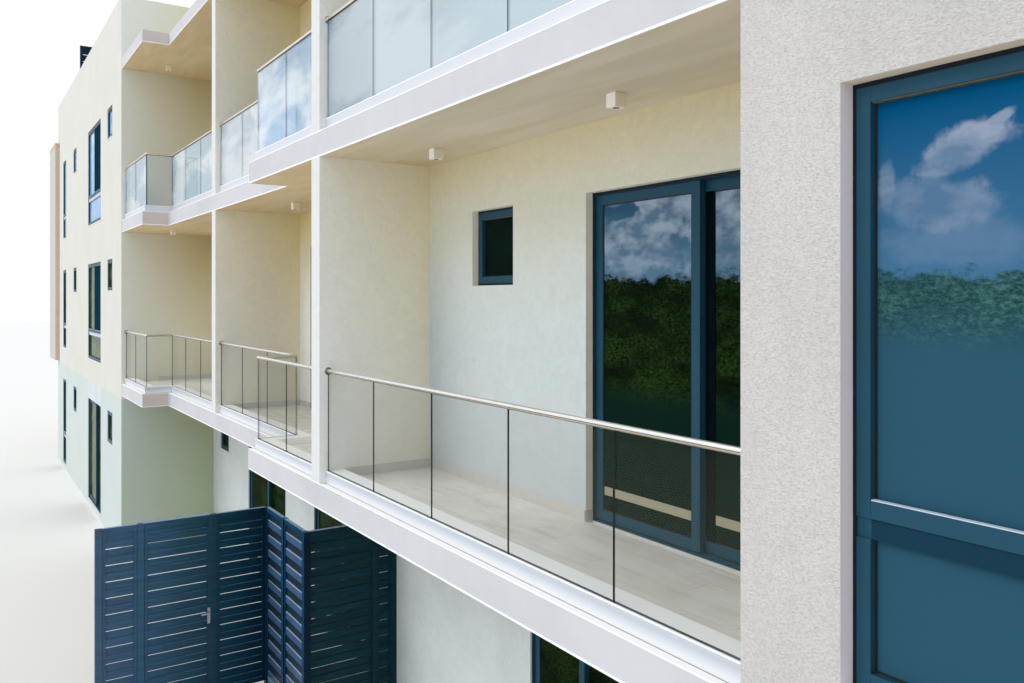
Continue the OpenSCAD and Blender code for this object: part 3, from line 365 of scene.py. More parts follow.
def painted_slab():
    """Painted concrete slab: lavender-grey front edges, side edges warmer in painted shade, ledges brighter
    in painted light, and a soffit painted tan as shade with warm bounced light, with soft roller streaks,
    told apart by the way each face looks."""
    material, tree, shader, place = new_material("painted_concrete", Roughness=0.62, Specular_IOR_Level=0.3)
    spot = add(tree, SPLIT, Vector=place).outputs
    axes = facing(tree)
    below = add(tree, MATH, {"operation": "LESS_THAN"}, n0=axes["Z"], n1=-0.5).outputs[0]
    above = add(tree, MATH, {"operation": "GREATER_THAN"}, n0=axes["Z"], n1=0.5).outputs[0]
    front = weathered(tree, place, "#CBCBD0", "#C2C3C7", 0.1)
    across = add(tree, MATH, {"operation": "ABSOLUTE"}, n0=axes["X"]).outputs[0]
    # Painted shade: side edges are warmer than front edges.
    edge = add(tree, MIX, COLOUR, Factor=across, A=front, B=rgb("#D0C5C0")).outputs["Result"]
    stretched = add(tree, MAPPING, Vector=place, Scale=(0.5, 3, 1))
    streak = add(tree, NOISE, Vector=stretched.outputs[0], Scale=1.3, Detail=5, Distortion=0.8).outputs["Fac"]
    # Painted shade and warm bounced light: tan soffits, stronger away from the third bay.
    near = add(tree, RAMP, {"stops": [(0.35, "#D6C8AC"), (0.5, "#DCCFB6"), (0.65, "#E1D6C2")]},
               Fac=streak).outputs[0]
    far = add(tree, RAMP, {"stops": [(0.35, "#D8BE93"), (0.5, "#DEC59B"), (0.65, "#E3CDA8")]},
              Fac=streak).outputs[0]
    third = add(tree, RANGE, Value=spot["X"], From_Min=fin_b[0].x - 1, From_Max=fin_b[1].x + 1.5)
    tan = add(tree, MIX, COLOUR, Factor=third.outputs[0], A=far, B=near).outputs["Result"]
    colour = add(tree, MIX, COLOUR, Factor=below, A=edge, B=tan).outputs["Result"]
    # Painted light: upward ledges are brighter.
    colour = add(tree, MIX, COLOUR, Factor=above, A=colour, B=rgb("#E4E6E6")).outputs["Result"]
    tree.links.new(colour, shader.inputs["Base Color"])
    relief(tree, shader, place, 1000 / 4, 2, 0.0006, 0.5)
    return material


def painted_fin(name, front, low_stops, high_stops):
    """Dividing fins: painted front edges, and side faces that go from white at their outer edge
    to a warm straw tone deep under the ceiling, as painted shade and bounced light."""
    material, tree, shader, place = new_material(name, Roughness=0.8, Specular_IOR_Level=0.25)
    side = looking(tree, "X")
    flank = flank_painted_light(tree, place, low_stops, high_stops)
    tone = add(tree, MIX, COLOUR, Factor=side, A=rgb(front), B=flank).outputs["Result"]
    finish_wall(tree, shader, place, tone)
    return material


def white_paint():
    """Smooth white gloss paint on kerbs, beads and sills."""
    material, tree, shader, place = new_material("white_enamel", Roughness=0.45, Specular_IOR_Level=0.3)
    tone = weathered(tree, place, "#FBFEFF", "#F6FAFD", 0.1)
    tree.links.new(tone, shader.inputs["Base Color"])
    return material


def light_paint():
    """White powder coat of the cube lights, with painted shade and tan light bounced from the soffits where
    it looks sideways.
    """
    material, tree, shader, place = new_material("white_powder_coat", Roughness=0.4, Specular_IOR_Level=0.3)
    side = looking(tree, "X")
    tone = add(tree, MIX, COLOUR, Factor=side, A=rgb("#FBF9F4"), B=rgb("#E8DDC6")).outputs["Result"]
    tree.links.new(tone, shader.inputs["Base Color"])
    relief(tree, shader, place, 1000 / 3, 1, 0.0002, 0.5)
    return material


def powder_coat(name, light, dark, roughness, level=0.3):
    """Powder-coated metal: an even satin tone with faint clouds, dust and a fine orange peel."""
    material, tree, shader, place = new_material(name, Specular_IOR_Level=level)
    cloud = add(tree, NOISE, Vector=place, Scale=4, Detail=5).outputs["Fac"]
    mixed = add(tree, MIX, COLOUR, Factor=cloud, A=rgb(dark), B=rgb(light)).outputs["Result"]
    tree.links.new(mixed, shader.inputs["Base Color"])
    gloss = add(tree, RANGE, Value=cloud, To_Min=roughness - 0.08, To_Max=roughness + 0.1)
    tree.links.new(gloss.outputs[0], shader.inputs["Roughness"])
    relief(tree, shader, place, 1000 / 3, 1, 0.0002, 0.5)
    return material


def screen_paint():
    """Navy powder coat of the screens, with painted light and shade: bluer where it looks to the front and is
    lit, slate grey to deep blue along the gate's stretch as the balcony's shade deepens inwards, and dark
    teal, in painted shade, on the stretch that runs back under the balcony."""
    material, tree, shader, place = new_material("navy_powder_coat", Roughness=0.42, Specular_IOR_Level=0.1)
    spot = add(tree, SPLIT, Vector=place).outputs
    side = looking(tree, "X")
    drawn = add(tree, MAPPING, Vector=place, Scale=(2.5, 2.5, 45)).outputs[0]
    cloud = add(tree, NOISE, Vector=drawn, Scale=1, Detail=5, Roughness=0.6).outputs["Fac"]
    cloud = add(tree, RANGE, Value=cloud, From_Min=0.3, From_Max=0.7).outputs[0]
    # Painted light and shade: a lit copy for faces that look to the front, a shaded copy under the balcony.
    lit = add(tree, MIX, COLOUR, Factor=cloud, A=rgb("#0E3652"), B=rgb("#17496B")).outputs["Result"]
    shaded = add(tree, MIX, COLOUR, Factor=cloud, A=rgb("#06252E"), B=rgb("#0F3A44")).outputs["Result"]
    cross_y = max(high.y for low, high in solids("screen_panels") if high.x - low.x > high.y - low.y)
    inward = add(tree, RANGE, Value=spot["Y"], From_Min=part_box("screen_posts")[0].y,
                 From_Max=cross_y).outputs[0]
    # Painted shade: darker inwards along the gate's stretch, under the balcony.
    open_side_shade = add(tree, RAMP,
                    {"stops": [(0, "#445F7B"), (0.3, "#345A75"), (0.5, "#274B5F"), (0.75, "#0C3A4E"),
                               (1, "#001E31")]},
                    Fac=inward).outputs[0]
    grain = add(tree, RANGE, Value=cloud, To_Min=0.8, To_Max=1.2).outputs[0]
    open_side_shade = add(tree, HUE, Color=open_side_shade, Value=grain).outputs[0]
    under = add(tree, RANGE, Value=spot["Y"], From_Min=cross_y + 0.01, From_Max=cross_y + 0.04)
    tone = add(tree, MIX, COLOUR, Factor=side, A=lit, B=open_side_shade).outputs["Result"]
    tone = add(tree, MIX, COLOUR, Factor=under.outputs[0], A=tone, B=shaded).outputs["Result"]
    tree.links.new(tone, shader.inputs["Base Color"])
    brushed = add(tree, MAPPING, Vector=place, Scale=(20, 20, 300)).outputs[0]
    relief(tree, shader, brushed, 1, 3, 0.0006, 0.5)
    return material


# How far the first floor's pane reaches from its middle, along and up
PANE_REACH = (0.5, 0.8)
# Height over the floor and half width of the pale band in the doors' glass, a painted reflection
BAND_Z, BAND_HALF = 0.24, 0.03


def placed_clouds(tree, place, edge, clouds):
    """Painted cloud reflections: soft white ovals at given places of an upright pane, each with its middle,
    its two radii, its tilt and its strength, and with the ragged edge that a noise gives."""
    whole = 0.0
    for x, z, long_r, high_r, tilt, strength in clouds:
        local = add(tree, MAPPING, {"vector_type": "TEXTURE"}, Vector=place, Location=(x, 0, z),
                    Rotation=(0, -math.radians(tilt), 0), Scale=(long_r, 100, high_r)).outputs[0]
        reach = add(tree, "ShaderNodeVectorMath", {"operation": "LENGTH"}, n0=local).outputs["Value"]
        torn = add(tree, MATH, {"operation": "MULTIPLY_ADD"}, n0=edge, n1=1.5, n2=reach).outputs[0]
        share = add(tree, RANGE, {"interpolation_type": "SMOOTHSTEP"}, Value=torn, From_Min=1.85,
                    From_Max=1.35, To_Max=strength).outputs[0]
        whole = add(tree, MATH, {"operation": "MAXIMUM"}, n0=share, n1=whole).outputs[0]
    return whole


def solar_glazing(name, sky, low_sky, cloud, cloud_shade, green, dark_green, foot, cloud_share, foot_line,
                  line=1.74, clouds=(), band=None):
    """Coated solar-control glazing, a dark glossy sheet, whose colour holds painted reflections: deep blue
    sky with soft white clouds at the head, over a ragged tree line, to mottled green trees and a flat dark
    foot. The near block's pane over the first floor has its own painted clouds. On the far block the upper
    storey has a painted reflection of pale blue sky and the lower ones of mottled green trees."""
    material, tree, shader, place = new_material(
        name, Roughness=0.03, Specular_IOR_Level=0.01, Specular_Tint=rgb("#8FB8DC"))
    spot = add(tree, SPLIT, Vector=place).outputs
    height = storey_height(tree, place)
    wide = add(tree, MAPPING, Vector=place, Scale=(1, 1, 1.9)).outputs[0]
    puff = add(tree, NOISE, Vector=wide, Scale=1.9, Detail=9, Roughness=0.48, Distortion=0.25).outputs["Fac"]
    puffs = add(tree, RANGE, {"interpolation_type": "SMOOTHSTEP"}, Value=puff, From_Min=cloud_share,
                From_Max=cloud_share + 0.07).outputs[0]
    if clouds:
        edge = add(tree, NOISE, Vector=place, Scale=9, Detail=9, Roughness=0.62).outputs["Fac"]
        own = placed_clouds(tree, place, edge, clouds)
        beside = add(tree, MATH, {"operation": "COMPARE"}, n0=spot["X"], n1=FIRST_PANE.x,
                     n2=PANE_REACH[0])
        level = add(tree, MATH, {"operation": "COMPARE"}, n0=spot["Z"], n1=FIRST_PANE.z,
                    n2=PANE_REACH[1])
        there = add(tree, MATH, {"operation": "MULTIPLY"}, n0=beside.outputs[0],
                    n1=level.outputs[0]).outputs[0]
        puffs = add(tree, MIX, Factor=there, A=puffs, B=own).outputs["Result"]
    billow = add(tree, NOISE, Vector=wide, Scale=5.5, Detail=5, Roughness=0.55).outputs["Fac"]
    billows = add(tree, RANGE, Value=billow, From_Min=0.38, From_Max=0.62).outputs[0]
    body = add(tree, MIX, COLOUR, Factor=billows, A=rgb(cloud_shade), B=rgb(cloud)).outputs["Result"]
    fall = add(tree, RANGE, Value=height, From_Min=line, From_Max=line + 0.6).outputs[0]
    clear = add(tree, MIX, COLOUR, Factor=fall, A=rgb(low_sky), B=rgb(sky)).outputs["Result"]
    bright = add(tree, RANGE, Value=fall, From_Min=-0.3, From_Max=0.7, To_Min=0.25, To_Max=1.0).outputs[0]
    puffs = add(tree, MATH, {"operation": "MULTIPLY"}, n0=puffs, n1=bright).outputs[0]
    upper = add(tree, MIX, COLOUR, Factor=puffs, A=clear, B=body).outputs["Result"]
    mottle = add(tree, NOISE, Vector=wide, Scale=34, Detail=9, Roughness=0.9).outputs["Fac"]
    mottled = add(tree, RANGE, Value=mottle, From_Min=0.45, From_Max=0.62).outputs[0]
    patch = add(tree, NOISE, Vector=wide, Scale=2.6, Detail=3).outputs["Fac"]
    patch = add(tree, RANGE, Value=patch, From_Min=0.4, From_Max=0.6, To_Min=0.25, To_Max=1.0).outputs[0]
    mottled = add(tree, MATH, {"operation": "MULTIPLY"}, n0=mottled, n1=patch).outputs[0]
    middle = add(tree, MIX, COLOUR, Factor=mottled, A=rgb(dark_green), B=rgb(green)).outputs["Result"]
    sunk = add(tree, RANGE, {"interpolation_type": "SMOOTHSTEP"}, Value=height, From_Min=foot_line - 0.12,
               From_Max=foot_line + 0.12).outputs[0]
    lower = add(tree, MIX, COLOUR, Factor=sunk, A=rgb(foot), B=middle).outputs["Result"]
    # Painted reflection: a pale band across the doors' glass.
    if band:
        stripe = add(tree, MATH, {"operation": "COMPARE"}, n0=height, n1=BAND_Z, n2=BAND_HALF).outputs[0]
        lower = add(tree, MIX, COLOUR, Factor=stripe, A=lower, B=rgb(band)).outputs["Result"]
    ragged = add(tree, NOISE, Vector=wide, Scale=7, Detail=9, Roughness=0.8).outputs["Fac"]
    ragged = add(tree, RANGE, Value=ragged, To_Min=-0.16, To_Max=0.16).outputs[0]
    level = add(tree, MATH, {"operation": "ADD"}, n0=height, n1=ragged).outputs[0]
    open_sky = add(tree, RANGE, Value=level, From_Min=line - 0.02, From_Max=line + 0.02).outputs[0]
    colour = add(tree, MIX, COLOUR, Factor=open_sky, A=lower, B=upper).outputs["Result"]
    # Painted reflections on the far block: pale blue sky upstairs, mottled green trees below.
    top = add(tree, MATH, {"operation": "GREATER_THAN"}, n0=spot["Z"], n1=floors[2]).outputs[0]
    pale = add(tree, MIX, COLOUR, Factor=puffs, A=rgb("#8AB2DC"), B=rgb("#B4C9EA")).outputs["Result"]
    far_green = add(tree, MIX, COLOUR, Factor=mottled, A=rgb("#14241A"), B=rgb("#7E9A52")).outputs["Result"]
    grazing = add(tree, MIX, COLOUR, Factor=top, A=far_green, B=pale).outputs["Result"]
    far = add(tree, MATH, {"operation": "LESS_THAN"}, n0=spot["X"], n1=far_right - 0.01).outputs[0]
    colour = add(tree, MIX, COLOUR, Factor=far, A=colour, B=grazing).outputs["Result"]
    tree.links.new(colour, shader.inputs["Base Color"])
    relief(tree, shader, place, 1.5, 1, 0.004, 0.15)
    return material


def balustrade_glass():
    """Clear toughened glass. On the first floor it is nearly colourless, with a faint dark green tint that
    is lighter near the floor as a painted reflection; on the second floor it carries a painted reflection
    of pale blue sky with soft wide clouds."""
    material, tree, shader, place = new_material("toughened_glass", Roughness=0.02, Specular_IOR_Level=0.5)
    spot = add(tree, SPLIT, Vector=place).outputs
    height = spot["Z"]
    upper = add(tree, MATH, {"operation": "GREATER_THAN"}, n0=height, n1=floors[2] - slab_depth).outputs[0]
    wide = add(tree, MAPPING, Vector=place, Scale=(0.45, 0.6, 1)).outputs[0]
    puff = add(tree, NOISE, Vector=wide, Scale=1.7, Detail=8, Roughness=0.5, Distortion=0.3).outputs["Fac"]
    strong = add(tree, RANGE, Value=spot["X"], From_Min=fin_b[0].x, From_Max=fin_b[1].x,
                 To_Min=0.85, To_Max=0.5).outputs[0]
    puffs = add(tree, RANGE, {"interpolation_type": "SMOOTHSTEP"}, Value=puff, From_Min=0.42,
                From_Max=0.6, To_Max=strong).outputs[0]
    over = add(tree, RANGE, Value=storey_height(tree, place), From_Min=0.0, From_Max=1.0).outputs[0]
    nearness = add(tree, RANGE, Value=spot["X"], From_Min=far_right, From_Max=near_left).outputs[0]
    # Painted reflection of the sky, its blue changing from bay to bay and deepening upwards.
    blue = add(tree, RAMP,
               {"stops": [(0, "#BAD8EE"), (0.33, "#BAD8EE"), (0.36, "#D4E6F2"), (0.53, "#CCE0F0"),
                          (0.56, "#9CC6EC"), (0.67, "#90BCE4"), (0.69, "#86A2B6"), (0.745, "#98B4C6"),
                          (0.755, "#C4D8E4"), (1, "#CADBE8")]}, Fac=nearness).outputs[0]
    deepened = add(tree, RANGE, Value=over, To_Min=1.04, To_Max=0.94).outputs[0]
    blue = add(tree, HUE, Color=blue, Value=deepened).outputs[0]
    sheen = add(tree, MIX, COLOUR, Factor=puffs, A=blue, B=rgb("#ECF3F7")).outputs["Result"]
    first_floor_sheen = add(tree, MIX, COLOUR, Factor=over, A=rgb("#747A66"), B=rgb("#363E24")).outputs["Result"]
    colour = add(tree, MIX, COLOUR, Factor=upper, A=first_floor_sheen, B=sheen).outputs["Result"]
    tree.links.new(colour, shader.inputs["Base Color"])
    glance = add(tree, "ShaderNodeFresnel", IOR=1.5).outputs[0]
    clear = add(tree, RANGE, Value=glance, From_Min=0.04, From_Max=0.5, To_Min=0.03, To_Max=0.12).outputs[0]
    lengthwise = looking(tree, "Y")
    veil = add(tree, RANGE, Value=puffs, To_Min=0.42, To_Max=0.6).outputs[0]
    veil = add(tree, MIX, Factor=lengthwise, A=0.1, B=veil).outputs["Result"]
    alpha = add(tree, MIX, Factor=upper, A=clear, B=veil).outputs["Result"]
    tree.links.new(alpha, shader.inputs["Alpha"])
    return material


def satin_aluminium():
    """Anodised glass channel: satin metal that is nearly white at its foot, a painted reflection of the
    bright ledge, and bluish grey above, with fine lengthwise drawing lines."""
    material, tree, shader, place = new_material("satin_anodised_aluminium", Metallic=0.6, Roughness=0.42)
    spot = add(tree, SPLIT, Vector=place).outputs
    height = storey_height(tree, place)
    from_foot = add(tree, MATH, {"operation": "ADD"}, n0=height, n1=ledge_drop).outputs[0]
    from_foot = add(tree, MATH, {"operation": "FLOORED_MODULO"}, n0=from_foot, n1=storey).outputs[0]
    share = add(tree, MATH, {"operation": "DIVIDE"}, n0=from_foot, n1=channel_top + ledge_drop).outputs[0]
    tone = add(tree, RAMP,
               {"stops": [(0.0, "#F6F7F9"), (0.3, "#E6EAEF"), (0.75, "#C9D1DB"), (1.0, "#CFD7E0")]},
               Fac=share).outputs[0]
    upper = add(tree, RANGE, Value=spot["Z"], From_Min=floors[2] - slab_depth,
                From_Max=floors[2] - slab_depth + 0.001, To_Max=0.8).outputs[0]
    tone = add(tree, MIX, COLOUR, Factor=upper, A=tone, B=rgb("#D8DCE4")).outputs["Result"]
    tree.links.new(tone, shader.inputs["Base Color"])
    drawn = add(tree, MAPPING, Vector=place, Scale=(1, 1, 300)).outputs[0]
    relief(tree, shader, drawn, 2, 2, 0.0001, 0.3)
    return material


def brushed_steel():
    """Brushed stainless tube with painted reflections and shade by the way each face looks. The first
    floor's rails are white along the top, with a thin dark line and a cream band under it, and the second
    floor's are cream with a dark underside."""
    material, tree, shader, place = new_material("brushed_stainless_steel", Metallic=1, Roughness=0.25)
    spot = add(tree, SPLIT, Vector=place).outputs
    around = add(tree, RANGE, Value=facing(tree)["Z"], From_Min=-1, From_Max=1).outputs[0]
    first = add(tree, RAMP,
                {"stops": [(0.0, "#8A8070"), (0.34, "#D8CDB8"), (0.4, "#CFC4AE"), (0.43, "#454238"),
                           (0.48, "#4A473E"), (0.53, "#E4E8EC"), (1.0, "#F4F7FA")]}, Fac=around).outputs[0]
    second = add(tree, RAMP,
                 {"stops": [(0.0, "#2E2B24"), (0.15, "#3A362D"), (0.2, "#C9BFAB"), (0.4, "#E6DFD0"),
                            (0.6, "#F1EFEA"), (1.0, "#F4F7FA")]}, Fac=around).outputs[0]
    upper = add(tree, MATH, {"operation": "GREATER_THAN"}, n0=spot["Z"], n1=floors[2]).outputs[0]
    tone = add(tree, MIX, COLOUR, Factor=upper, A=first, B=second).outputs["Result"]
    cloud = add(tree, NOISE, Vector=place, Scale=12, Detail=4).outputs["Fac"]
    dull = add(tree, RANGE, Value=cloud, To_Min=0.86, To_Max=1.08).outputs[0]
    mixed = add(tree, HUE, Color=tone, Value=dull).outputs[0]
    tree.links.new(mixed, shader.inputs["Base Color"])
    drawn = add(tree, MAPPING, Vector=place, Scale=(2, 400, 400)).outputs[0]
    relief(tree, shader, drawn, 2, 2, 0.0001, 0.2)
    return material


def plank_tiles():
    """Porcelain planks with a printed limed-oak grain: cool grey, streaked along each plank, and
    each plank a little lighter or darker than the next."""
    material, tree, shader, place = new_material("limed_oak_porcelain", Specular_IOR_Level=0.4)
    tone = add(tree, "ShaderNodeAttribute", {"attribute_name": "tone"}).outputs["Fac"]
    shifted = add(tree, "ShaderNodeCombineXYZ", X=0, Y=0, Z=tone).outputs[0]
    moved = add(tree, "ShaderNodeVectorMath", {"operation": "MULTIPLY_ADD"}, n0=shifted, n1=(0, 0, 30),
                n2=place).outputs[0]
    long_grain = add(tree, MAPPING, Vector=moved, Scale=(1.4, 26, 1))
    grain = add(tree, NOISE, Vector=long_grain.outputs[0], Scale=1, Detail=8, Roughness=0.65,
                Distortion=0.6).outputs["Fac"]
    blotch = add(tree, NOISE, Vector=moved, Scale=3.5, Detail=5).outputs["Fac"]
    both = add(tree, MIX, Factor=0.45, A=grain, B=blotch).outputs["Result"]
    varied = add(tree, MATH, {"operation": "MULTIPLY_ADD"}, n0=tone, n1=0.09, n2=both).outputs[0]
    colour = add(tree, RAMP,
                 {"stops": [(0.34, "#BFBCB3"), (0.48, "#D6D4CE"), (0.6, "#DFDEDA"), (0.78, "#E9E8E5")]},
                 Fac=varied).outputs[0]
    tree.links.new(colour, shader.inputs["Base Color"])
    gloss = add(tree, RANGE, Value=grain, To_Min=0.35, To_Max=0.6).outputs[0]
    tree.links.new(gloss, shader.inputs["Roughness"])
    bump = add(tree, BUMP, Height=grain, Distance=0.0006, Strength=0.5)
    tree.links.new(bump.outputs[0], shader.inputs["Normal"])
    return material


def plain_finish(name, light, dark, roughness, scale=20, metallic=0):
    """A small part's finish: rubber, sealant, mortar, sheet, or a strip of painted light or shade, with a
    little mottling.
    """
    material, tree, shader, place = new_material(name, Roughness=roughness, Metallic=metallic)
    cloud = add(tree, NOISE, Vector=place, Scale=scale, Detail=4).outputs["Fac"]
    mixed = add(tree, MIX, COLOUR, Factor=cloud, A=rgb(dark), B=rgb(light)).outputs["Result"]
    tree.links.new(mixed, shader.inputs["Base Color"])
    return material


SPRAYED = sprayed_render()
BLOCK_WALL = block_render()
RECESS_WALL = recess_render()
COOL_WALL = painted_render("cool_painted_render", "#D3DADB", "#C9D1D2")
SLAB = painted_slab()
# The fins' side ramps are painted shade and bounced light.
FIN = painted_fin("painted_fin", "#D9DBDA", [(0, "#ECECE8"), (0.5, "#EBE7D8"), (1, "#E8DEC8")],
                  [(0, "#EAE9DF"), (0.5, "#E8E0C4"), (1, "#E0D29F")])
GABLE_FIN = painted_fin("gable_fin_render", "#C4C1BB", [(0, "#CDBBA6"), (1, "#CDBBA6")],
                        [(0, "#CDBBA6"), (1, "#CDBBA6")])
ENAMEL = white_paint()
FRAMES = powder_coat("anthracite_powder_coat", "#1F4C62", "#184354", 0.4, 0.15)
# Painted shade: darker anthracite for the outer shadow strips and the recessed lower bars.
DARK_FRAMES = powder_coat("anthracite_shadow_strip", "#0E1E2A", "#0A151D", 0.5, 0.2)
LOW_BAR = powder_coat("anthracite_recessed_bar", "#10384C", "#0C2E40", 0.45, 0.08)
NAVY = screen_paint()
FIRST_PANE = [(low + high) / 2 for low, high in solids("front_window_glass") if low.x > near_left
              and floors[1] < low.z < floors[2] and high.z - low.z > 1][0]
# Painted cloud reflections on that pane: middle, two radii, tilt in degrees and strength
PANE_CLOUDS = [(FIRST_PANE.x - 0.14, FIRST_PANE.z + 0.5, 0.18, 0.08, 20, 0.85),
               (FIRST_PANE.x - 0.03, FIRST_PANE.z + 0.575, 0.08, 0.025, 30, 0.7),
               (FIRST_PANE.x - 0.22, FIRST_PANE.z + 0.33, 0.25, 0.11, -4, 0.6),
               (FIRST_PANE.x - 0.405, FIRST_PANE.z + 0.4, 0.035, 0.12, 0, 0.75),
               (FIRST_PANE.x - 0.15, FIRST_PANE.z + 0.2, 0.42, 0.09, 0, 0.3)]
WINDOWS = solar_glazing(
    "blue_solar_glazing", sky="#004C76", low_sky="#3F6A8B", cloud="#949FB2", cloud_shade="#647C96",
    green="#4A7470", dark_green="#1A3C40", foot="#2A5164", cloud_share=0.5, foot_line=1.5, line=1.69,
    clouds=PANE_CLOUDS)
DOOR_GLASS = solar_glazing(
    "green_solar_glazing", sky="#22506E", low_sky="#54768F", cloud="#9AABBE", cloud_shade="#5C768E",
    green="#304A1C", dark_green="#040C06", foot="#0A211C", cloud_share=0.45, foot_line=0.95, band="#A39E88")
DARK_GLASS = solar_glazing(
    "dark_solar_glazing", sky="#0C1C18", low_sky="#0A1814", cloud="#10241E", cloud_shade="#0C1C18",
    green="#17251B", dark_green="#0A140F", foot="#0A1612", cloud_share=0.5, foot_line=0.75)
BALUSTRADE = balustrade_glass()
CHANNEL = satin_aluminium()
STEEL = brushed_steel()
HOUSING = light_paint()
TILES = plank_tiles()
GROUT = plain_finish("cement_grout", "#A3A49D", "#8F908A", 0.9)
RUBBER = plain_finish("glazing_rubber", "#16191B", "#0C0E10", 0.6)
# Painted reflection: an olive line along the head of the panes.
BEAD = plain_finish("weathered_glazing_bead", "#6A6442", "#3E3C2C", 0.6, 40)
GASKET = plain_finish("channel_gasket", "#7B7F86", "#666A71", 0.6)
SEALANT = plain_finish("grey_sealant", "#A8A29A", "#938E88", 0.6)
GLASS_EDGE = plain_finish("green_glass_edge", "#16231A", "#0C140E", 0.3)
MEMBRANE = plain_finish("roof_membrane", "#B9B8B4", "#A4A39F", 0.8, 3)
SKIRTING = plain_finish("porcelain_skirting", "#D2D0CB", "#C2C0BA", 0.45, 8)
# Painted light and shade on the screens: sky reflection on the caps, highlights on the slat ledges, sky-lit
# and shaded slat halves.
CAP = plain_finish("worn_cap_strip", "#8FAECB", "#6C8CAD", 0.35, 15, 0.3)
LIT_LEDGE = plain_finish("worn_slat_edge", "#54768C", "#2E5268", 0.4, 12)
BRIGHT_EDGE = plain_finish("bright_slat_edge", "#C4D2E2", "#8FA6BE", 0.35, 7)
SKY_LIT = plain_finish("sky_lit_slat", "#46698E", "#2C4C6C", 0.45, 6)
SHADED_SLAT = plain_finish("shaded_slat", "#0C2A3E", "#071C2C", 0.5, 6)
TAN_CAP = plain_finish("tan_coping", "#CDB598", "#BFA68A", 0.7, 6)
STRIP = plain_finish("pale_weather_strip", "#C2CEDC", "#B2C0D0", 0.5)
PALE_BAR = plain_finish("sky_lit_transom", "#BAC6DC", "#A3B2CC", 0.3, 6)
# Painted shade: a dark sheet on the far windows' recessed panes, and a dark strip on the doors' recessed
# stiles.
DARK_PANE = powder_coat("dark_teal_pane", "#0F3B4C", "#0B2F3E", 0.3, 0.0)
INTERLOCK = powder_coat("shaded_interlock", "#08161C", "#050E12", 0.5, 0.0)

SLOT_FINISH = {
    "rough_render": SPRAYED, "cream_render": BLOCK_WALL, "cool_render": COOL_WALL, "white_paint": SLAB,
    "anthracite_paint": FRAMES, "navy_paint": NAVY, "window_glass": WINDOWS, "balustrade_glass": BALUSTRADE,
    "channel_aluminium": CHANNEL, "rail_steel": STEEL, "light_housing": HOUSING}
NODE_FINISH = {
    "bay_fins": FIN, "gable_fins": GABLE_FIN, "balcony_kerbs": ENAMEL, "first_bay_walls": RECESS_WALL,
    "second_bay_walls": RECESS_WALL, "near_side_wall": BLOCK_WALL, "far_front_piers": BLOCK_WALL,
    "upper_door_glass": DOOR_GLASS, "ground_door_glass": DOOR_GLASS, "bay_window_glass": DARK_GLASS,
    **{"door_pane_" + letter: DOOR_GLASS for letter in "abcd"}}


def dress_nodes():
    """Each CAD node takes its own finish, or else the finish of its slot in the record."""
    for name, slot in SLOTS.items():
        slots = NODES[name].data.materials
        finish = NODE_FINISH.get(name, SLOT_FINISH[slot])
        if not slots:
            slots.append(finish)
        for i in range(len(slots)):
            slots[i] = finish


# Pieces that repeat, made by Geometry Nodes

def new_tree(name, *sockets):
    """An empty Geometry Nodes tree with named inputs, and its input and output nodes."""
    tree = bpy.data.node_groups.new(name, "GeometryNodeTree")
    tree.interface.new_socket("Geometry", in_out="INPUT", socket_type="NodeSocketGeometry")
    for label, kind in sockets:
        tree.interface.new_socket(label, in_out="INPUT", socket_type="NodeSocket" + kind)
    tree.interface.new_socket("Geometry", in_out="OUTPUT", socket_type="NodeSocketGeometry")
    return tree, tree.nodes.new("NodeGroupInput").outputs, tree.nodes.new("NodeGroupOutput").inputs


def bar_tree():
    """A bar on each point, as large as the point's size attribute says."""
    tree, given, result = new_tree("bars", ("Finish", "Material"))
    bar = add(tree, "GeometryNodeMeshCube", Size=(1, 1, 1)).outputs["Mesh"]
    size = add(tree, "GeometryNodeInputNamedAttribute", {"data_type": "FLOAT_VECTOR"}, Name="size")
    placed = add(tree, "GeometryNodeInstanceOnPoints", Points=given["Geometry"], Instance=bar,
                 Scale=size.outputs["Attribute"])
    whole = add(tree, "GeometryNodeRealizeInstances", Geometry=placed.outputs[0])
    clad = add(tree, "GeometryNodeSetMaterial", Geometry=whole.outputs[0], Material=given["Finish"])
    tree.links.new(clad.outputs[0], result[0])
    return tree


def disc_tree():
    """A short upright cylinder on each point, for bezels, lenses and roof outlets."""
    tree, given, result = new_tree("discs", ("Radius", "Float"), ("Height", "Float"), ("Finish", "Material"))
    disc = add(tree, "GeometryNodeMeshCylinder", Vertices=24, Radius=given["Radius"], Depth=given["Height"])
    placed = add(tree, "GeometryNodeInstanceOnPoints", Points=given["Geometry"],
                 Instance=disc.outputs["Mesh"])
    whole = add(tree, "GeometryNodeRealizeInstances", Geometry=placed.outputs[0])
    clad = add(tree, "GeometryNodeSetMaterial", Geometry=whole.outputs[0], Material=given["Finish"])
    tree.links.new(clad.outputs[0], result[0])
    return tree


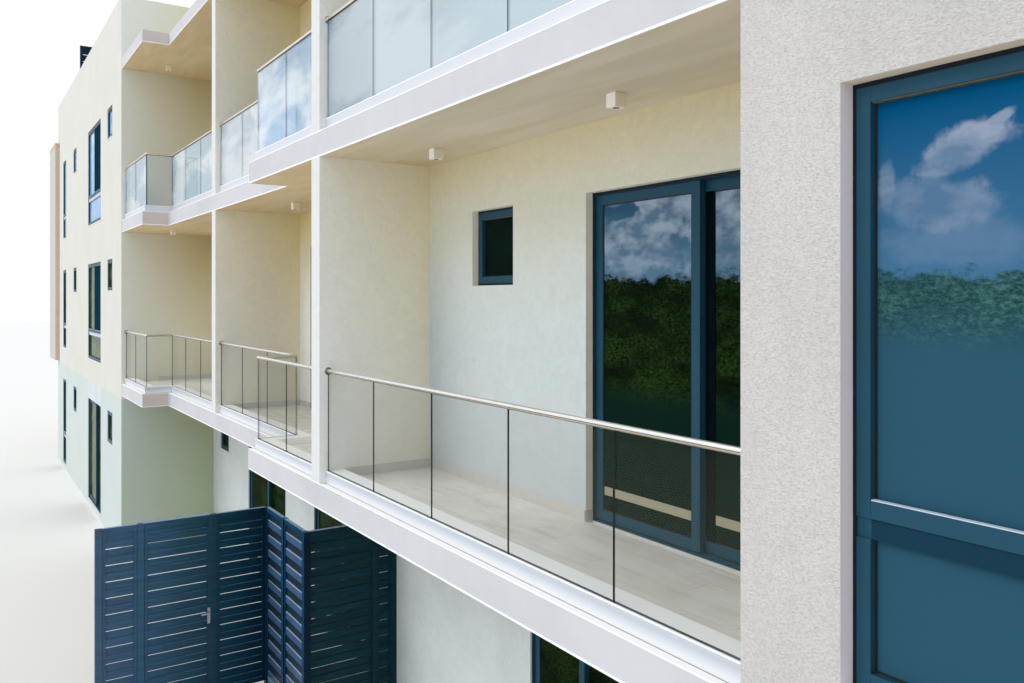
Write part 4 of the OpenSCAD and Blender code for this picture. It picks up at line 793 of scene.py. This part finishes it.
def plank_tree():
    """Lays planks over each point's area: rows with joints, each row pushed along by a random
    share of a plank, and every plank cut at the area's edges."""
    tree, given, result = new_tree(
        "planks", ("Low", "Vector"), ("High", "Vector"), ("Plank Length", "Float"), ("Plank Width", "Float"),
        ("Thickness", "Float"), ("Joint", "Float"), ("Seed", "Int"), ("Finish", "Material"))
    low = add(tree, SPLIT, Vector=given["Low"]).outputs
    high = add(tree, SPLIT, Vector=given["High"]).outputs
    pitch, count = {}, {}
    for axis, length, spare in (("X", "Plank Length", 3), ("Y", "Plank Width", 2)):
        span = add(tree, MATH, {"operation": "SUBTRACT"}, n0=high[axis], n1=low[axis]).outputs[0]
        pitch[axis] = add(tree, MATH, {"operation": "ADD"}, n0=given[length], n1=given["Joint"]).outputs[0]
        fit = add(tree, MATH, {"operation": "DIVIDE"}, n0=span, n1=pitch[axis]).outputs[0]
        room = add(tree, MATH, {"operation": "ADD"}, n0=fit, n1=spare).outputs[0]
        count[axis] = add(tree, MATH, {"operation": "FLOOR"}, n0=room).outputs[0]
    total = add(tree, MATH, {"operation": "MULTIPLY"}, n0=count["X"], n1=count["Y"]).outputs[0]
    points = add(tree, "GeometryNodePoints", Count=total).outputs[0]
    index = add(tree, "GeometryNodeInputIndex").outputs[0]
    row = add(tree, MATH, {"operation": "DIVIDE"}, n0=index, n1=count["X"]).outputs[0]
    row = add(tree, MATH, {"operation": "FLOOR"}, n0=row).outputs[0]
    column = add(tree, MATH, {"operation": "MODULO"}, n0=index, n1=count["X"]).outputs[0]
    shift = add(tree, "FunctionNodeRandomValue", n2=0.0, n3=1.0, ID=row, Seed=given["Seed"]).outputs[1]
    column = add(tree, MATH, {"operation": "SUBTRACT"}, n0=column, n1=shift).outputs[0]
    left = add(tree, MATH, {"operation": "MULTIPLY_ADD"}, n0=column, n1=pitch["X"], n2=low["X"]).outputs[0]
    right = add(tree, MATH, {"operation": "ADD"}, n0=left, n1=given["Plank Length"]).outputs[0]
    front = add(tree, MATH, {"operation": "MULTIPLY_ADD"}, n0=row, n1=pitch["Y"], n2=low["Y"]).outputs[0]
    back = add(tree, MATH, {"operation": "ADD"}, n0=front, n1=given["Plank Width"]).outputs[0]
    left = add(tree, MATH, {"operation": "MAXIMUM"}, n0=left, n1=low["X"]).outputs[0]
    right = add(tree, MATH, {"operation": "MINIMUM"}, n0=right, n1=high["X"]).outputs[0]
    back = add(tree, MATH, {"operation": "MINIMUM"}, n0=back, n1=high["Y"]).outputs[0]
    long = add(tree, MATH, {"operation": "SUBTRACT"}, n0=right, n1=left).outputs[0]
    wide = add(tree, MATH, {"operation": "SUBTRACT"}, n0=back, n1=front).outputs[0]
    middle_x = add(tree, MATH, {"operation": "MULTIPLY_ADD"}, n0=long, n1=0.5, n2=left).outputs[0]
    middle_y = add(tree, MATH, {"operation": "MULTIPLY_ADD"}, n0=wide, n1=0.5, n2=front).outputs[0]
    middle_z = add(tree, MATH, {"operation": "MULTIPLY_ADD"}, n0=given["Thickness"], n1=0.5,
                   n2=low["Z"]).outputs[0]
    place = add(tree, "ShaderNodeCombineXYZ", X=middle_x, Y=middle_y, Z=middle_z).outputs[0]
    size = add(tree, "ShaderNodeCombineXYZ", X=long, Y=wide, Z=given["Thickness"]).outputs[0]
    shorter = add(tree, MATH, {"operation": "MINIMUM"}, n0=long, n1=wide).outputs[0]
    useful = add(tree, MATH, {"operation": "GREATER_THAN"}, n0=shorter, n1=0.004).outputs[0]
    laid = add(tree, "GeometryNodeSetPosition", Geometry=points, Position=place).outputs[0]
    block = add(tree, "GeometryNodeMeshCube", Size=(1, 1, 1)).outputs["Mesh"]
    planks = add(tree, "GeometryNodeInstanceOnPoints", Points=laid, Selection=useful, Instance=block,
                 Scale=size).outputs[0]
    tone = add(tree, "FunctionNodeRandomValue", n2=0.0, n3=1.0, Seed=given["Seed"]).outputs[1]
    toned = add(tree, "GeometryNodeStoreNamedAttribute", {"domain": "INSTANCE"}, Geometry=planks, Name="tone",
                Value=tone).outputs[0]
    whole = add(tree, "GeometryNodeRealizeInstances", Geometry=toned).outputs[0]
    clad = add(tree, "GeometryNodeSetMaterial", Geometry=whole, Material=given["Finish"]).outputs[0]
    tree.links.new(clad, result[0])
    return tree


BARS = bar_tree()
DISCS = disc_tree()
PLANKS = plank_tree()


def make_piece(name, tree, points, sizes, body, slot, bevel=0.0, **inputs):
    """Runs a tree on points, keeps the result as one plain mesh and lets it ride on a body."""
    mesh = bpy.data.meshes.new(name)
    mesh.from_pydata(points, [], [])
    if sizes:
        layer = mesh.attributes.new("size", "FLOAT_VECTOR", "POINT")
        layer.data.foreach_set("vector", [c for size in sizes for c in size])
    draft = bpy.data.objects.new(name + "_draft", mesh)
    bpy.context.scene.collection.objects.link(draft)
    modifier = draft.modifiers.new("made", "NODES")
    modifier.node_group = tree
    for item in tree.interface.items_tree:
        if item.in_out == "INPUT" and item.name.replace(" ", "_") in inputs:
            modifier[item.identifier] = inputs[item.name.replace(" ", "_")]
    if bevel:
        edge = draft.modifiers.new("edge", "BEVEL")
        edge.width = bevel
        edge.segments = 2
        edge.limit_method = "ANGLE"
    bpy.context.view_layer.update()
    made = draft.evaluated_get(bpy.context.evaluated_depsgraph_get())
    piece = bpy.data.objects.new(name, bpy.data.meshes.new_from_object(made))
    bpy.context.scene.collection.objects.link(piece)
    bpy.data.objects.remove(draft)
    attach(piece, body)
    return piece


def bars(name, boxes, finish, slot, body="building", bevel=0.0):
    """One piece of straight bars, each given by its lowest and highest corner."""
    points = [(Vector(low) + Vector(high)) / 2 for low, high in boxes]
    sizes = [[abs(h - l) for l, h in zip(low, high)] for low, high in boxes]
    return make_piece(name, BARS, points, sizes, body, slot, bevel, Finish=finish)


def discs(name, points, radius, height, finish, slot, body="building"):
    """One piece of upright discs around their middles."""
    return make_piece(name, DISCS, points, None, body, slot, Radius=radius, Height=height, Finish=finish)


# Lines along the open slab edges, each walked with the slab on its left

FRONT_LINE = [(far_right, outer_y), (step_1, outer_y), (step_1, inner_y), (step_2, inner_y),
              (step_2, outer_y), (near_left, outer_y)]
BAY_LINES = [
    [(far_right, outer_y), (step_1, outer_y), (step_1, inner_y), (fin_a[0].x, inner_y)],
    [(fin_a[1].x, inner_y), (step_2, inner_y), (step_2, outer_y), (fin_b[0].x, outer_y)],
    [(fin_b[1].x, outer_y), (near_left, outer_y)]]
GABLE_LINE = [(gable_x, gable_y1), (gable_x, gable_y0)]


def along(line, out_0, out_1, z0, z1):
    """Boxes along a line of right-angled corners, between two distances out from it."""
    ways = [(Vector(b) - Vector(a)).normalized() for a, b in zip(line, line[1:])]
    outs = [Vector((way.y, -way.x)) for way in ways]
    turns = [outs[0]] + [a + b for a, b in zip(outs, outs[1:])] + [outs[-1]]
    boxes = []
    for i in range(len(ways)):
        corners = [Vector(line[k]) + out * turns[k] for k in (i, i + 1) for out in (out_0, out_1)]
        xs = [c.x for c in corners]
        ys = [c.y for c in corners]
        boxes.append(((min(xs), min(ys), z0), (max(xs), max(ys), z1)))
    return boxes


def slab_edges():
    """White beads along the foot of each slab's open edge, at the top of its ledge and on its corners:
    painted highlights on those edges.
    """
    bead, out = 0.012, 0.0015
    boxes = []
    for floor in floors[1:]:
        low = floor - slab_depth
        boxes += along(FRONT_LINE, -0.004, out, low - 0.001, low + bead)
        boxes += along(FRONT_LINE, -0.006, out, floor - ledge_drop - 0.006, floor - ledge_drop + out)
        boxes += along(GABLE_LINE, -0.004, out, low - 0.001, low + bead)
        for x, y in FRONT_LINE[1:5]:
            boxes.append(((x - 0.004, y - 0.0035, low), (x + 0.004, y + 0.0045, floor - ledge_drop)))
    boxes += along(FRONT_LINE, -0.004, out, roof_low.z - 0.001, roof_low.z + bead)
    bars("slab_edge_beads", boxes, ENAMEL, "white_paint")


# Across the balustrade's foot, measured inwards from the slab's edge
LIP = (0.053, 0.064)
GROOVE = (0.064, 0.091)
REAR_LIP = (0.091, 0.105)
GLASS_LINE = (0.073, 0.085)
LINES = [(line, floor) for floor in floors[1:] for line in BAY_LINES + [GABLE_LINE]]


def channel_trim():
    """White lips, grey gaskets and the joint between channel and ledge."""
    lips, gaskets, joints = [], [], []
    for line, floor in LINES:
        top = floor + channel_top
        lips += along(line, -LIP[1], -LIP[0] + 0.0015, top - 0.004, top + 0.003)
        lips += along(line, -REAR_LIP[1], -REAR_LIP[0], top - 0.002, top + 0.002)
        gaskets += along(line, -GLASS_LINE[0], -GROOVE[0], top - 0.002, top + 0.0015)
        gaskets += along(line, -GROOVE[1], -GLASS_LINE[1], top - 0.002, top + 0.0015)
        joints += along(line, -LIP[0], -LIP[0] + 0.004, floor - ledge_drop, floor - ledge_drop + 0.003)
    bars("channel_lips", lips, ENAMEL, "channel_aluminium")
    bars("channel_gaskets", gaskets, GASKET, "channel_aluminium")
    bars("channel_joint", joints, SEALANT, "channel_aluminium")


def glass_trim():
    """Dark green polished edges at the ends of each pane."""
    ends = []
    for low, high in solids("balcony_glass"):
        middle = (low + high) / 2
        edge, core = (0.0025, 0.006) if middle.z > floors[2] else (0.0012, 0.004)
        if high.x - low.x > high.y - low.y:
            for x in (low.x - edge, high.x):
                ends.append(((x, middle.y - core, low.z), (x + edge, middle.y + core, high.z)))
        else:
            for y in (low.y - edge, high.y):
                ends.append(((middle.x - core, y, low.z), (middle.x + core, y + edge, high.z)))
    bars("glass_edges", ends, GLASS_EDGE, "balustrade_glass")


PLANK = {"Plank_Length": 1.2, "Plank_Width": 0.2, "Thickness": 0.009, "Joint": 0.0025}
# Gap between planks and kerb, and the grout bed's thickness
TILE_GAP = 0.003
BED_T = 0.007


def balcony_floors():
    """Grout bed and planks on each balcony, cut round the stepped edges."""
    back = kerb_depth + TILE_GAP
    areas = []
    for floor in floors[1:]:
        z = floor + 0.001
        areas += [((far_right, inner_y + back, z), (fin_a[0].x, deep_y, z)),
                  ((far_right, outer_y + back, z), (step_1 - back, inner_y + back, z)),
                  ((fin_a[1].x, inner_y + back, z), (fin_b[0].x, deep_y, z)),
                  ((step_2 + back, outer_y + back, z), (fin_b[0].x, inner_y + back, z)),
                  ((fin_b[1].x, outer_y + back, z), (near_left, third_y, z)),
                  ((gable_x + back, gable_y0, z), (far_x, gable_y1, z))]
    beds = [(low, (high[0], high[1], high[2] + BED_T)) for low, high in areas]
    bars("tile_bed", beds, GROUT, "cool_render")
    for i, (low, high) in enumerate(areas):
        make_piece("floor_planks_%02d" % (i + 1), PLANKS, [(0, 0, 0)], None, "building", "cool_render",
                   Low=low, High=high, Seed=7 + i, Finish=TILES, **PLANK)


def gaps_between(start, end, holes):
    """Stretches from start to end that no hole covers."""
    stretches = []
    for low, high in sorted(holes):
        if low > start:
            stretches.append((start, min(low, end)))
        start = max(start, high)
    if end > start:
        stretches.append((start, end))
    return stretches


# Skirting's height, thickness, length of a piece, and how far in from the slab's edge it starts
SKIRT_H, SKIRT_T, SKIRT_L = 0.09, 0.010, 0.6
SKIRT_IN = 0.24


def skirting():
    """Porcelain skirting along the balcony walls, in 0.6 m lengths, with returns into the doors."""
    doors = [b for b in solids("upper_door_frames") if b[1].x - b[0].x > 1]
    boxes = []
    for floor in floors[1:]:
        z0, z1 = floor + PLANK["Thickness"], floor + SKIRT_H
        here = [b for b in doors if floor - 0.1 < b[0].z < floor + 1]
        holes = [(low.x, high.x) for low, high in here]
        for x0, x1, y in ((far_right, fin_a[0].x, deep_y), (fin_a[1].x, fin_b[0].x, deep_y),
                          (fin_b[1].x, near_left, third_y)):
            for a, b in gaps_between(x0, x1, holes):
                x = a
                while x < b - 0.01:
                    boxes.append(((x, y - SKIRT_T, z0), (min(x + SKIRT_L, b) - 0.002, y, z1)))
                    x += SKIRT_L
        for low, high in here:
            face = deep_y if low.y > third_y + 0.3 else third_y
            for x in (low.x, high.x - 0.004):
                boxes.append(((x, face, z0), (x + 0.004, low.y, z1)))
        for x in (fin_a[0].x, fin_b[0].x):
            boxes.append(((x - SKIRT_T, inner_y + SKIRT_IN, z0), (x, deep_y - SKIRT_T, z1)))
        for x, y in ((far_right, deep_y), (fin_a[1].x, deep_y), (fin_b[1].x, third_y)):
            edge_y = inner_y if y == deep_y else outer_y
            boxes.append(((x, edge_y + SKIRT_IN, z0), (x + SKIRT_T, y - SKIRT_T, z1)))
        boxes.append(((near_left - SKIRT_T, outer_y + SKIRT_IN, z0), (near_left, third_y - SKIRT_T, z1)))
    bars("balcony_skirting", boxes, SKIRTING, "cool_render", bevel=0.0015)


# Windows and doors

def way_out(low, high):
    """The axis that runs through an upright pane or frame, and the sign that leads out of the
    building along it."""
    thin = 1 if high.y - low.y < high.x - low.x else 0
    return thin, -1 if low[thin] + high[thin] < 0 else 1


def turned_box(thin, across, depth, heights):
    """Corners of a box given along an opening's width, through its wall and by its heights."""
    start, end = [0, 0, heights[0]], [0, 0, heights[1]]
    start[1 - thin], end[1 - thin] = across
    start[thin], end[thin] = sorted(depth)
    return start, end


def ring(low, high, inner, outer, back, front, sides="lrbt", reach=None):
    """Bars round an upright rectangle: from inner to outer measured out of its edge, and from
    back to front measured out of its face. reach gives one side its own outer."""
    thin, sign = way_out(low, high)
    flat = 1 - thin
    face = low[thin] if sign < 0 else high[thin]
    depth = (face + sign * back, face + sign * front)
    out = {side: (reach or {}).get(side, outer) for side in "lrbt"}
    u0, u1, z0, z1 = low[flat], high[flat], low.z, high.z
    edges = {
        "l": (u0 - out["l"], u0 - inner, z0 - out["b"], z1 + out["t"]),
        "r": (u1 + inner, u1 + out["r"], z0 - out["b"], z1 + out["t"]),
        "b": (u0 - inner, u1 + inner, z0 - out["b"], z0 - inner),
        "t": (u0 - inner, u1 + inner, z1 + inner, z1 + out["t"])}
    return [turned_box(thin, edges[side][:2], depth, edges[side][2:]) for side in sides]


def close_pane(low, high, panes, flat, step, vertical):
    """Whether another pane of the same window lies just beyond one side of this one."""
    for a, b in panes:
        if abs(a[1 - flat] - low[1 - flat]) > 0.02:
            continue
        if vertical:
            gap = (a.z - high.z) if step > 0 else (low.z - b.z)
            meets = a[flat] < high[flat] and b[flat] > low[flat]
        else:
            gap = (a[flat] - high[flat]) if step > 0 else (low[flat] - b[flat])
            meets = abs(a.z - low.z) < 0.01
        if meets and 0 < gap < 0.2:
            return True
    return False


# A sash bar's width, its step out of the frame, and the pane's depth behind the frame's face
SASH_W, SASH_OUT, PANE_IN = 0.057, 0.008, 0.023
LOW_SASH_W, LOW_BAR_W, MULLION_W = 0.066, 0.074, 0.033
RUBBER_W, BEAD_W = 0.008, 0.005
# How far a sill or a threshold stands out
SILL_OUT = 0.012


def window_trim():
    """Sash bars, glazing rubbers, olive beads of painted reflection, lower bars and dark outer strips of
    painted shade, pale far transoms of painted sky light, dark sheets of painted shade on the far panes,
    white weather strips and sills.
    """
    sashes, low_bars, pale_bars, dark_panes = [], [], [], []
    rubbers, beads, strips, outer, sills = [], [], [], [], []
    for kind in ("front", "bay", "end", "rear"):
        panes = solids(kind + "_window_glass")
        for low, high in panes:
            flat = 1 - way_out(low, high)[0]
            reach = {}
            sides, rubber_sides = "lrbt", "lrb"
            if close_pane(low, high, panes, flat, 1, True):
                sides = "lrb"
                reach["t"] = 0
                on_far_block = kind == "front" and low.x < far_right
                # Painted light on the far block's transoms, painted shade on the other lower bars.
                (pale_bars if on_far_block else low_bars).extend(
                    ring(low, high, 0, LOW_BAR_W, PANE_IN - 0.002, PANE_IN + 0.001, "t"))
            else:
                beads += ring(low, high, -BEAD_W, 0, 0, PANE_IN + 0.002, "t")
            if close_pane(low, high, panes, flat, -1, True):
                reach["b"] = LOW_SASH_W
                rubber_sides = "lr"
                strips += ring(low, high, -0.004, 0, 0.010, PANE_IN + SASH_OUT + 0.001, "b")
            if close_pane(low, high, panes, flat, -1, False):
                reach["l"] = MULLION_W
                if kind == "front" and low.x < far_right:
                    # Painted shade: a dark sheet over the far windows' recessed right-hand pane.
                    dark_panes.append(((low.x, low.y - 0.003, low.z), (high.x, low.y, high.z)))
            if close_pane(low, high, panes, flat, 1, False):
                reach["r"] = MULLION_W
            sashes += ring(low, high, 0, SASH_W, PANE_IN - 0.002, PANE_IN + SASH_OUT, sides, reach)
            rubbers += ring(low, high, -RUBBER_W, 0, 0, 0.006, rubber_sides)
        for low, high in solids(kind + "_window_frames"):
            outer += ring(low, high, -0.018, -0.0005, 0, 0.002)
            thin, sign = way_out(low, high)
            if low.z > band_z and kind != "bay":
                wall = {"front": front_y, "rear": rear_y}.get(kind, far_x if sign < 0 else near_x)
                face = low[thin] if sign < 0 else high[thin]
                sills.append(turned_box(thin, (low[1 - thin] + 0.001, high[1 - thin] - 0.001),
                                        (face, wall + sign * SILL_OUT), (low.z - 0.001, low.z + 0.010)))
    bars("window_sashes", sashes, FRAMES, "anthracite_paint", bevel=0.0015)
    bars("window_low_bars", low_bars, LOW_BAR, "anthracite_paint")
    bars("far_window_transoms", pale_bars, PALE_BAR, "anthracite_paint")
    bars("far_window_dark_panes", dark_panes, DARK_PANE, "window_glass")
    bars("window_rubbers", rubbers, RUBBER, "anthracite_paint")
    bars("window_beads", beads, BEAD, "anthracite_paint")
    bars("window_shadow_strips", outer, DARK_FRAMES, "anthracite_paint")
    bars("window_weather_strips", strips, STRIP, "anthracite_paint")
    bars("window_sills", sills, ENAMEL, "white_paint", bevel=0.002)


# A leaf pane's depth behind the leaf's face, and the width of the strip where two leaves meet
LEAF_PANE_IN = 0.010
INTERLOCK_W = 0.075


def door_trim():
    """Glazing rubbers in the door leaves, interlock strips of painted shade, shadow strips of painted shade
    on the frames, and thresholds.
    """
    rubbers, strips, thresholds, interlocks = [], [], [], []
    for node in ("upper_door_glass", "ground_door_glass"):
        for low, high in solids(node):
            rubbers += ring(low, high, -RUBBER_W, 0, 0, LEAF_PANE_IN - 0.004)
    upper_panes = solids("upper_door_glass")
    for low, high in upper_panes:
        if any(abs(b[0].z - low.z) < 0.01 and 0 < low.x - b[1].x < 0.2 for b in upper_panes):
            interlocks.append(((low.x, low.y - 0.006, low.z), (low.x + INTERLOCK_W, low.y, high.z)))
    bars("door_interlocks", interlocks, INTERLOCK, "anthracite_paint")
    for node in ("upper_door_frames", "ground_door_frames"):
        for low, high in solids(node):
            thin, sign = way_out(low, high)
            if high[1 - thin] - low[1 - thin] < 1:
                continue
            strips += ring(low, high, -0.020, -0.0005, 0, 0.0015, "lrt")
            face = low[thin] if sign < 0 else high[thin]
            thresholds.append(turned_box(thin, (low[1 - thin] + 0.001, high[1 - thin] - 0.001),
                                         (face, face + sign * SILL_OUT), (low.z, low.z + SILL_OUT)))
    bars("door_rubbers", rubbers, RUBBER, "anthracite_paint")
    bars("door_shadow_strips", strips, DARK_FRAMES, "anthracite_paint")
    bars("door_thresholds", thresholds, SKIRTING, "channel_aluminium", bevel=0.002)
    for letter in "abcd":
        low, high = solids("door_pane_" + letter)[0]
        bars("sliding_rubber_" + letter, ring(low, high, -RUBBER_W, 0, 0, LEAF_PANE_IN - 0.004), RUBBER,
             "anthracite_paint", "door_" + letter)


def ceiling_lights():
    """White cube lights with softly rounded edges and a small dark lens in a steel ring below."""
    cubes = solids("soffit_lights")
    lens_r = 0.018
    shells = bars("light_cubes", cubes, HOUSING, "light_housing", bevel=0.004)
    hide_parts("soffit_lights")
    middles = [((low.x + high.x) / 2, (low.y + high.y) / 2, low.z) for low, high in cubes]
    discs("light_bezels", middles, lens_r + 0.004, 0.004, STEEL, "light_housing")
    discs("light_lenses", [(x, y, z - 0.001) for x, y, z in middles], lens_r, 0.004, GASKET, "light_housing")


def roof_trim():
    """Membrane sheets with lapped seams behind the parapet, cap sheets on it, and outlets."""
    z = roof_high.z
    sheet, lap_w = 1.05, 0.05
    sheets = []
    x = far_x + wall_t
    while x < near_x - wall_t - 0.01:
        end = min(x + sheet + lap_w, near_x - wall_t)
        over = 0.004 if int((x - far_x) / sheet) % 2 else 0.0
        front = front_y + wall_t if x < far_right - wall_t or x > near_left else deep_y + wall_t
        sheets.append(((x, front, z), (end, rear_y - wall_t, z + 0.006 + over)))
        x += sheet
    bars("roof_sheets", sheets, MEMBRANE, "cream_render")
    fin_low, fin_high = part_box("gable_fins")
    lip, low_z, high_z = 0.004, roof_high.z - 0.055, roof_high.z + 0.05
    copings = [((gable_x - lip, fin_low.y - lip, low_z), (fin_high.x + lip, front_y, high_z)),
               ((gable_x - lip, front_y, low_z), (far_x, gable_y0 + lip, high_z)),
               ((gable_x - lip, gable_y1 - lip, low_z), (far_x, fin_high.y + lip, high_z))]
    bars("gable_fin_copings", copings, TAN_CAP, "cream_render", bevel=0.002)
    cap = 0.004
    caps = [((far_x, front_y, top_z), (far_right, front_y + wall_t, top_z + cap)),
            ((near_left, front_y, top_z), (near_x, front_y + wall_t, top_z + cap)),
            ((far_x, rear_y - wall_t, top_z), (near_x, rear_y, top_z + cap)),
            ((far_x, front_y + wall_t, top_z), (far_x + wall_t, rear_y - wall_t, top_z + cap)),
            ((near_x - wall_t, front_y + wall_t, top_z), (near_x, rear_y - wall_t, top_z + cap)),
            ((far_right - wall_t, front_y + wall_t, top_z), (far_right, deep_y, top_z + cap)),
            ((near_left, front_y + wall_t, top_z), (near_left + wall_t, deep_y, top_z + cap)),
            ((far_right, deep_y, top_z), (near_left, deep_y + wall_t, top_z + cap))]
    bars("parapet_caps", caps, COOL_WALL, "cream_render", bevel=0.0015)
    outlets = [(x, rear_y - 0.9, z + 0.015) for x in (far_x + 3, 0, near_x - 3)]
    discs("roof_outlets", outlets, 0.09, 0.02, RUBBER, "rail_steel")


# A slat's ledge is narrower than this
LEDGE_D = 0.012


def slat_ledges(node):
    """The ledges at half height of a screen's slats, each with the height of half a slat."""
    faces = [(low, high) for low, high in level_faces(node) if max(high.x - low.x, high.y - low.y) > 0.08]
    ledges = [f for f in faces if min(f[1].x - f[0].x, f[1].y - f[0].y) < LEDGE_D]
    tops = sorted({round(f[0].z, 4) for f in faces if f not in ledges})
    found = []
    for low, high in ledges:
        over = [z for z in tops if z > low.z + 0.02]
        if over:
            found.append((low, high, over[0] - low.z))
    return found


def screen_trim():
    """Cap strips on the screens with a painted sky reflection, slat edges with painted highlights, and, in
    the stretch that looks to the front, lower halves of the slats in painted sky light and upper halves in
    painted shade."""
    cross_y = max(high.y for low, high in solids("screen_panels") if high.x - low.x > high.y - low.y)
    for name, node, body in (("screen", "screen_panels", "building"), ("gate", "gate_leaf", "gate")):
        caps, edges, bright, lit, shaded = [], [], [], [], []
        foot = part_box(node)[0].z
        for low, high in solids(node):
            if high.z - low.z > 1:
                caps.append(((low.x, low.y, high.z - 0.001), (high.x, high.y, high.z + 0.004)))
        for low, high, half in slat_ledges(node):
            if high.x - low.x > high.y - low.y:
                bright.append(((low.x, low.y - 0.002, low.z - 0.006), (high.x, high.y, low.z + 0.0005)))
                lit.append(((low.x + 0.001, low.y - 0.0015, max(low.z - half, foot)),
                            (high.x - 0.001, low.y + 0.001, low.z - 0.006)))
                shaded.append(((low.x + 0.001, high.y - 0.0012, low.z + 0.0005),
                               (high.x - 0.001, high.y, low.z + half)))
            elif low.y < cross_y:
                edges.append(((low.x, low.y, low.z - 0.004), (high.x + 0.0008, high.y, low.z + 0.0005)))
        bars(name + "_caps", caps, CAP, "navy_paint", body, bevel=0.001)
        bars(name + "_slat_edges", edges, LIT_LEDGE, "navy_paint", body)
        if lit:
            bars(name + "_bright_edges", bright, BRIGHT_EDGE, "navy_paint", body)
            bars(name + "_sky_lit_slats", lit, SKY_LIT, "navy_paint", body)
            bars(name + "_shaded_slats", shaded, SHADED_SLAT, "navy_paint", body)


def make_stage():
    """Pale floor, pale background, and soft light from all round and from one lamp."""
    mesh = bpy.data.meshes.new("studio_floor")
    build = bmesh.new()
    bmesh.ops.create_circle(build, cap_ends=True, segments=96, radius=180)
    build.to_mesh(mesh)
    build.free()
    floor = bpy.data.objects.new("studio_floor", mesh)
    floor.location.z = -0.002
    bpy.context.scene.collection.objects.link(floor)
    mesh.materials.append(new_material("studio_floor", Roughness=0.9, Base_Color=rgb("#E4E3E0"))[0])

    world = bpy.data.worlds.new("studio")
    bpy.context.scene.world = world
    world.use_nodes = True
    tree = world.node_tree
    background = tree.nodes["Background"]
    path = add(tree, "ShaderNodeLightPath")
    seen = add(tree, MATH, {"operation": "MAXIMUM"}, n0=path.outputs["Is Camera Ray"],
               n1=path.outputs["Is Glossy Ray"])
    seen = add(tree, MATH, {"operation": "MAXIMUM"}, n0=seen.outputs[0],
               n1=path.outputs["Is Transmission Ray"])
    colour = add(tree, MIX, COLOUR, Factor=seen.outputs[0], A=(0.94, 0.985, 1.05, 1), B=(1, 1, 1, 1))
    tree.links.new(colour.outputs["Result"], background.inputs["Color"])
    background.inputs["Strength"].default_value = 1

    sun = bpy.data.lights.new("soft_sun", "SUN")
    sun.energy = 1.3
    sun.angle = math.radians(35)
    sun.color = (1, 0.97, 0.92)
    lamp = bpy.data.objects.new("soft_sun", sun)
    lamp.rotation_euler = (math.radians(48), 0, math.radians(-25))
    bpy.context.scene.collection.objects.link(lamp)
    bpy.context.scene.view_settings.view_transform = "Standard"


make_camera()
dress_nodes()
slab_edges()
channel_trim()
glass_trim()
balcony_floors()
skirting()
window_trim()
door_trim()
ceiling_lights()
roof_trim()
screen_trim()
make_stage()
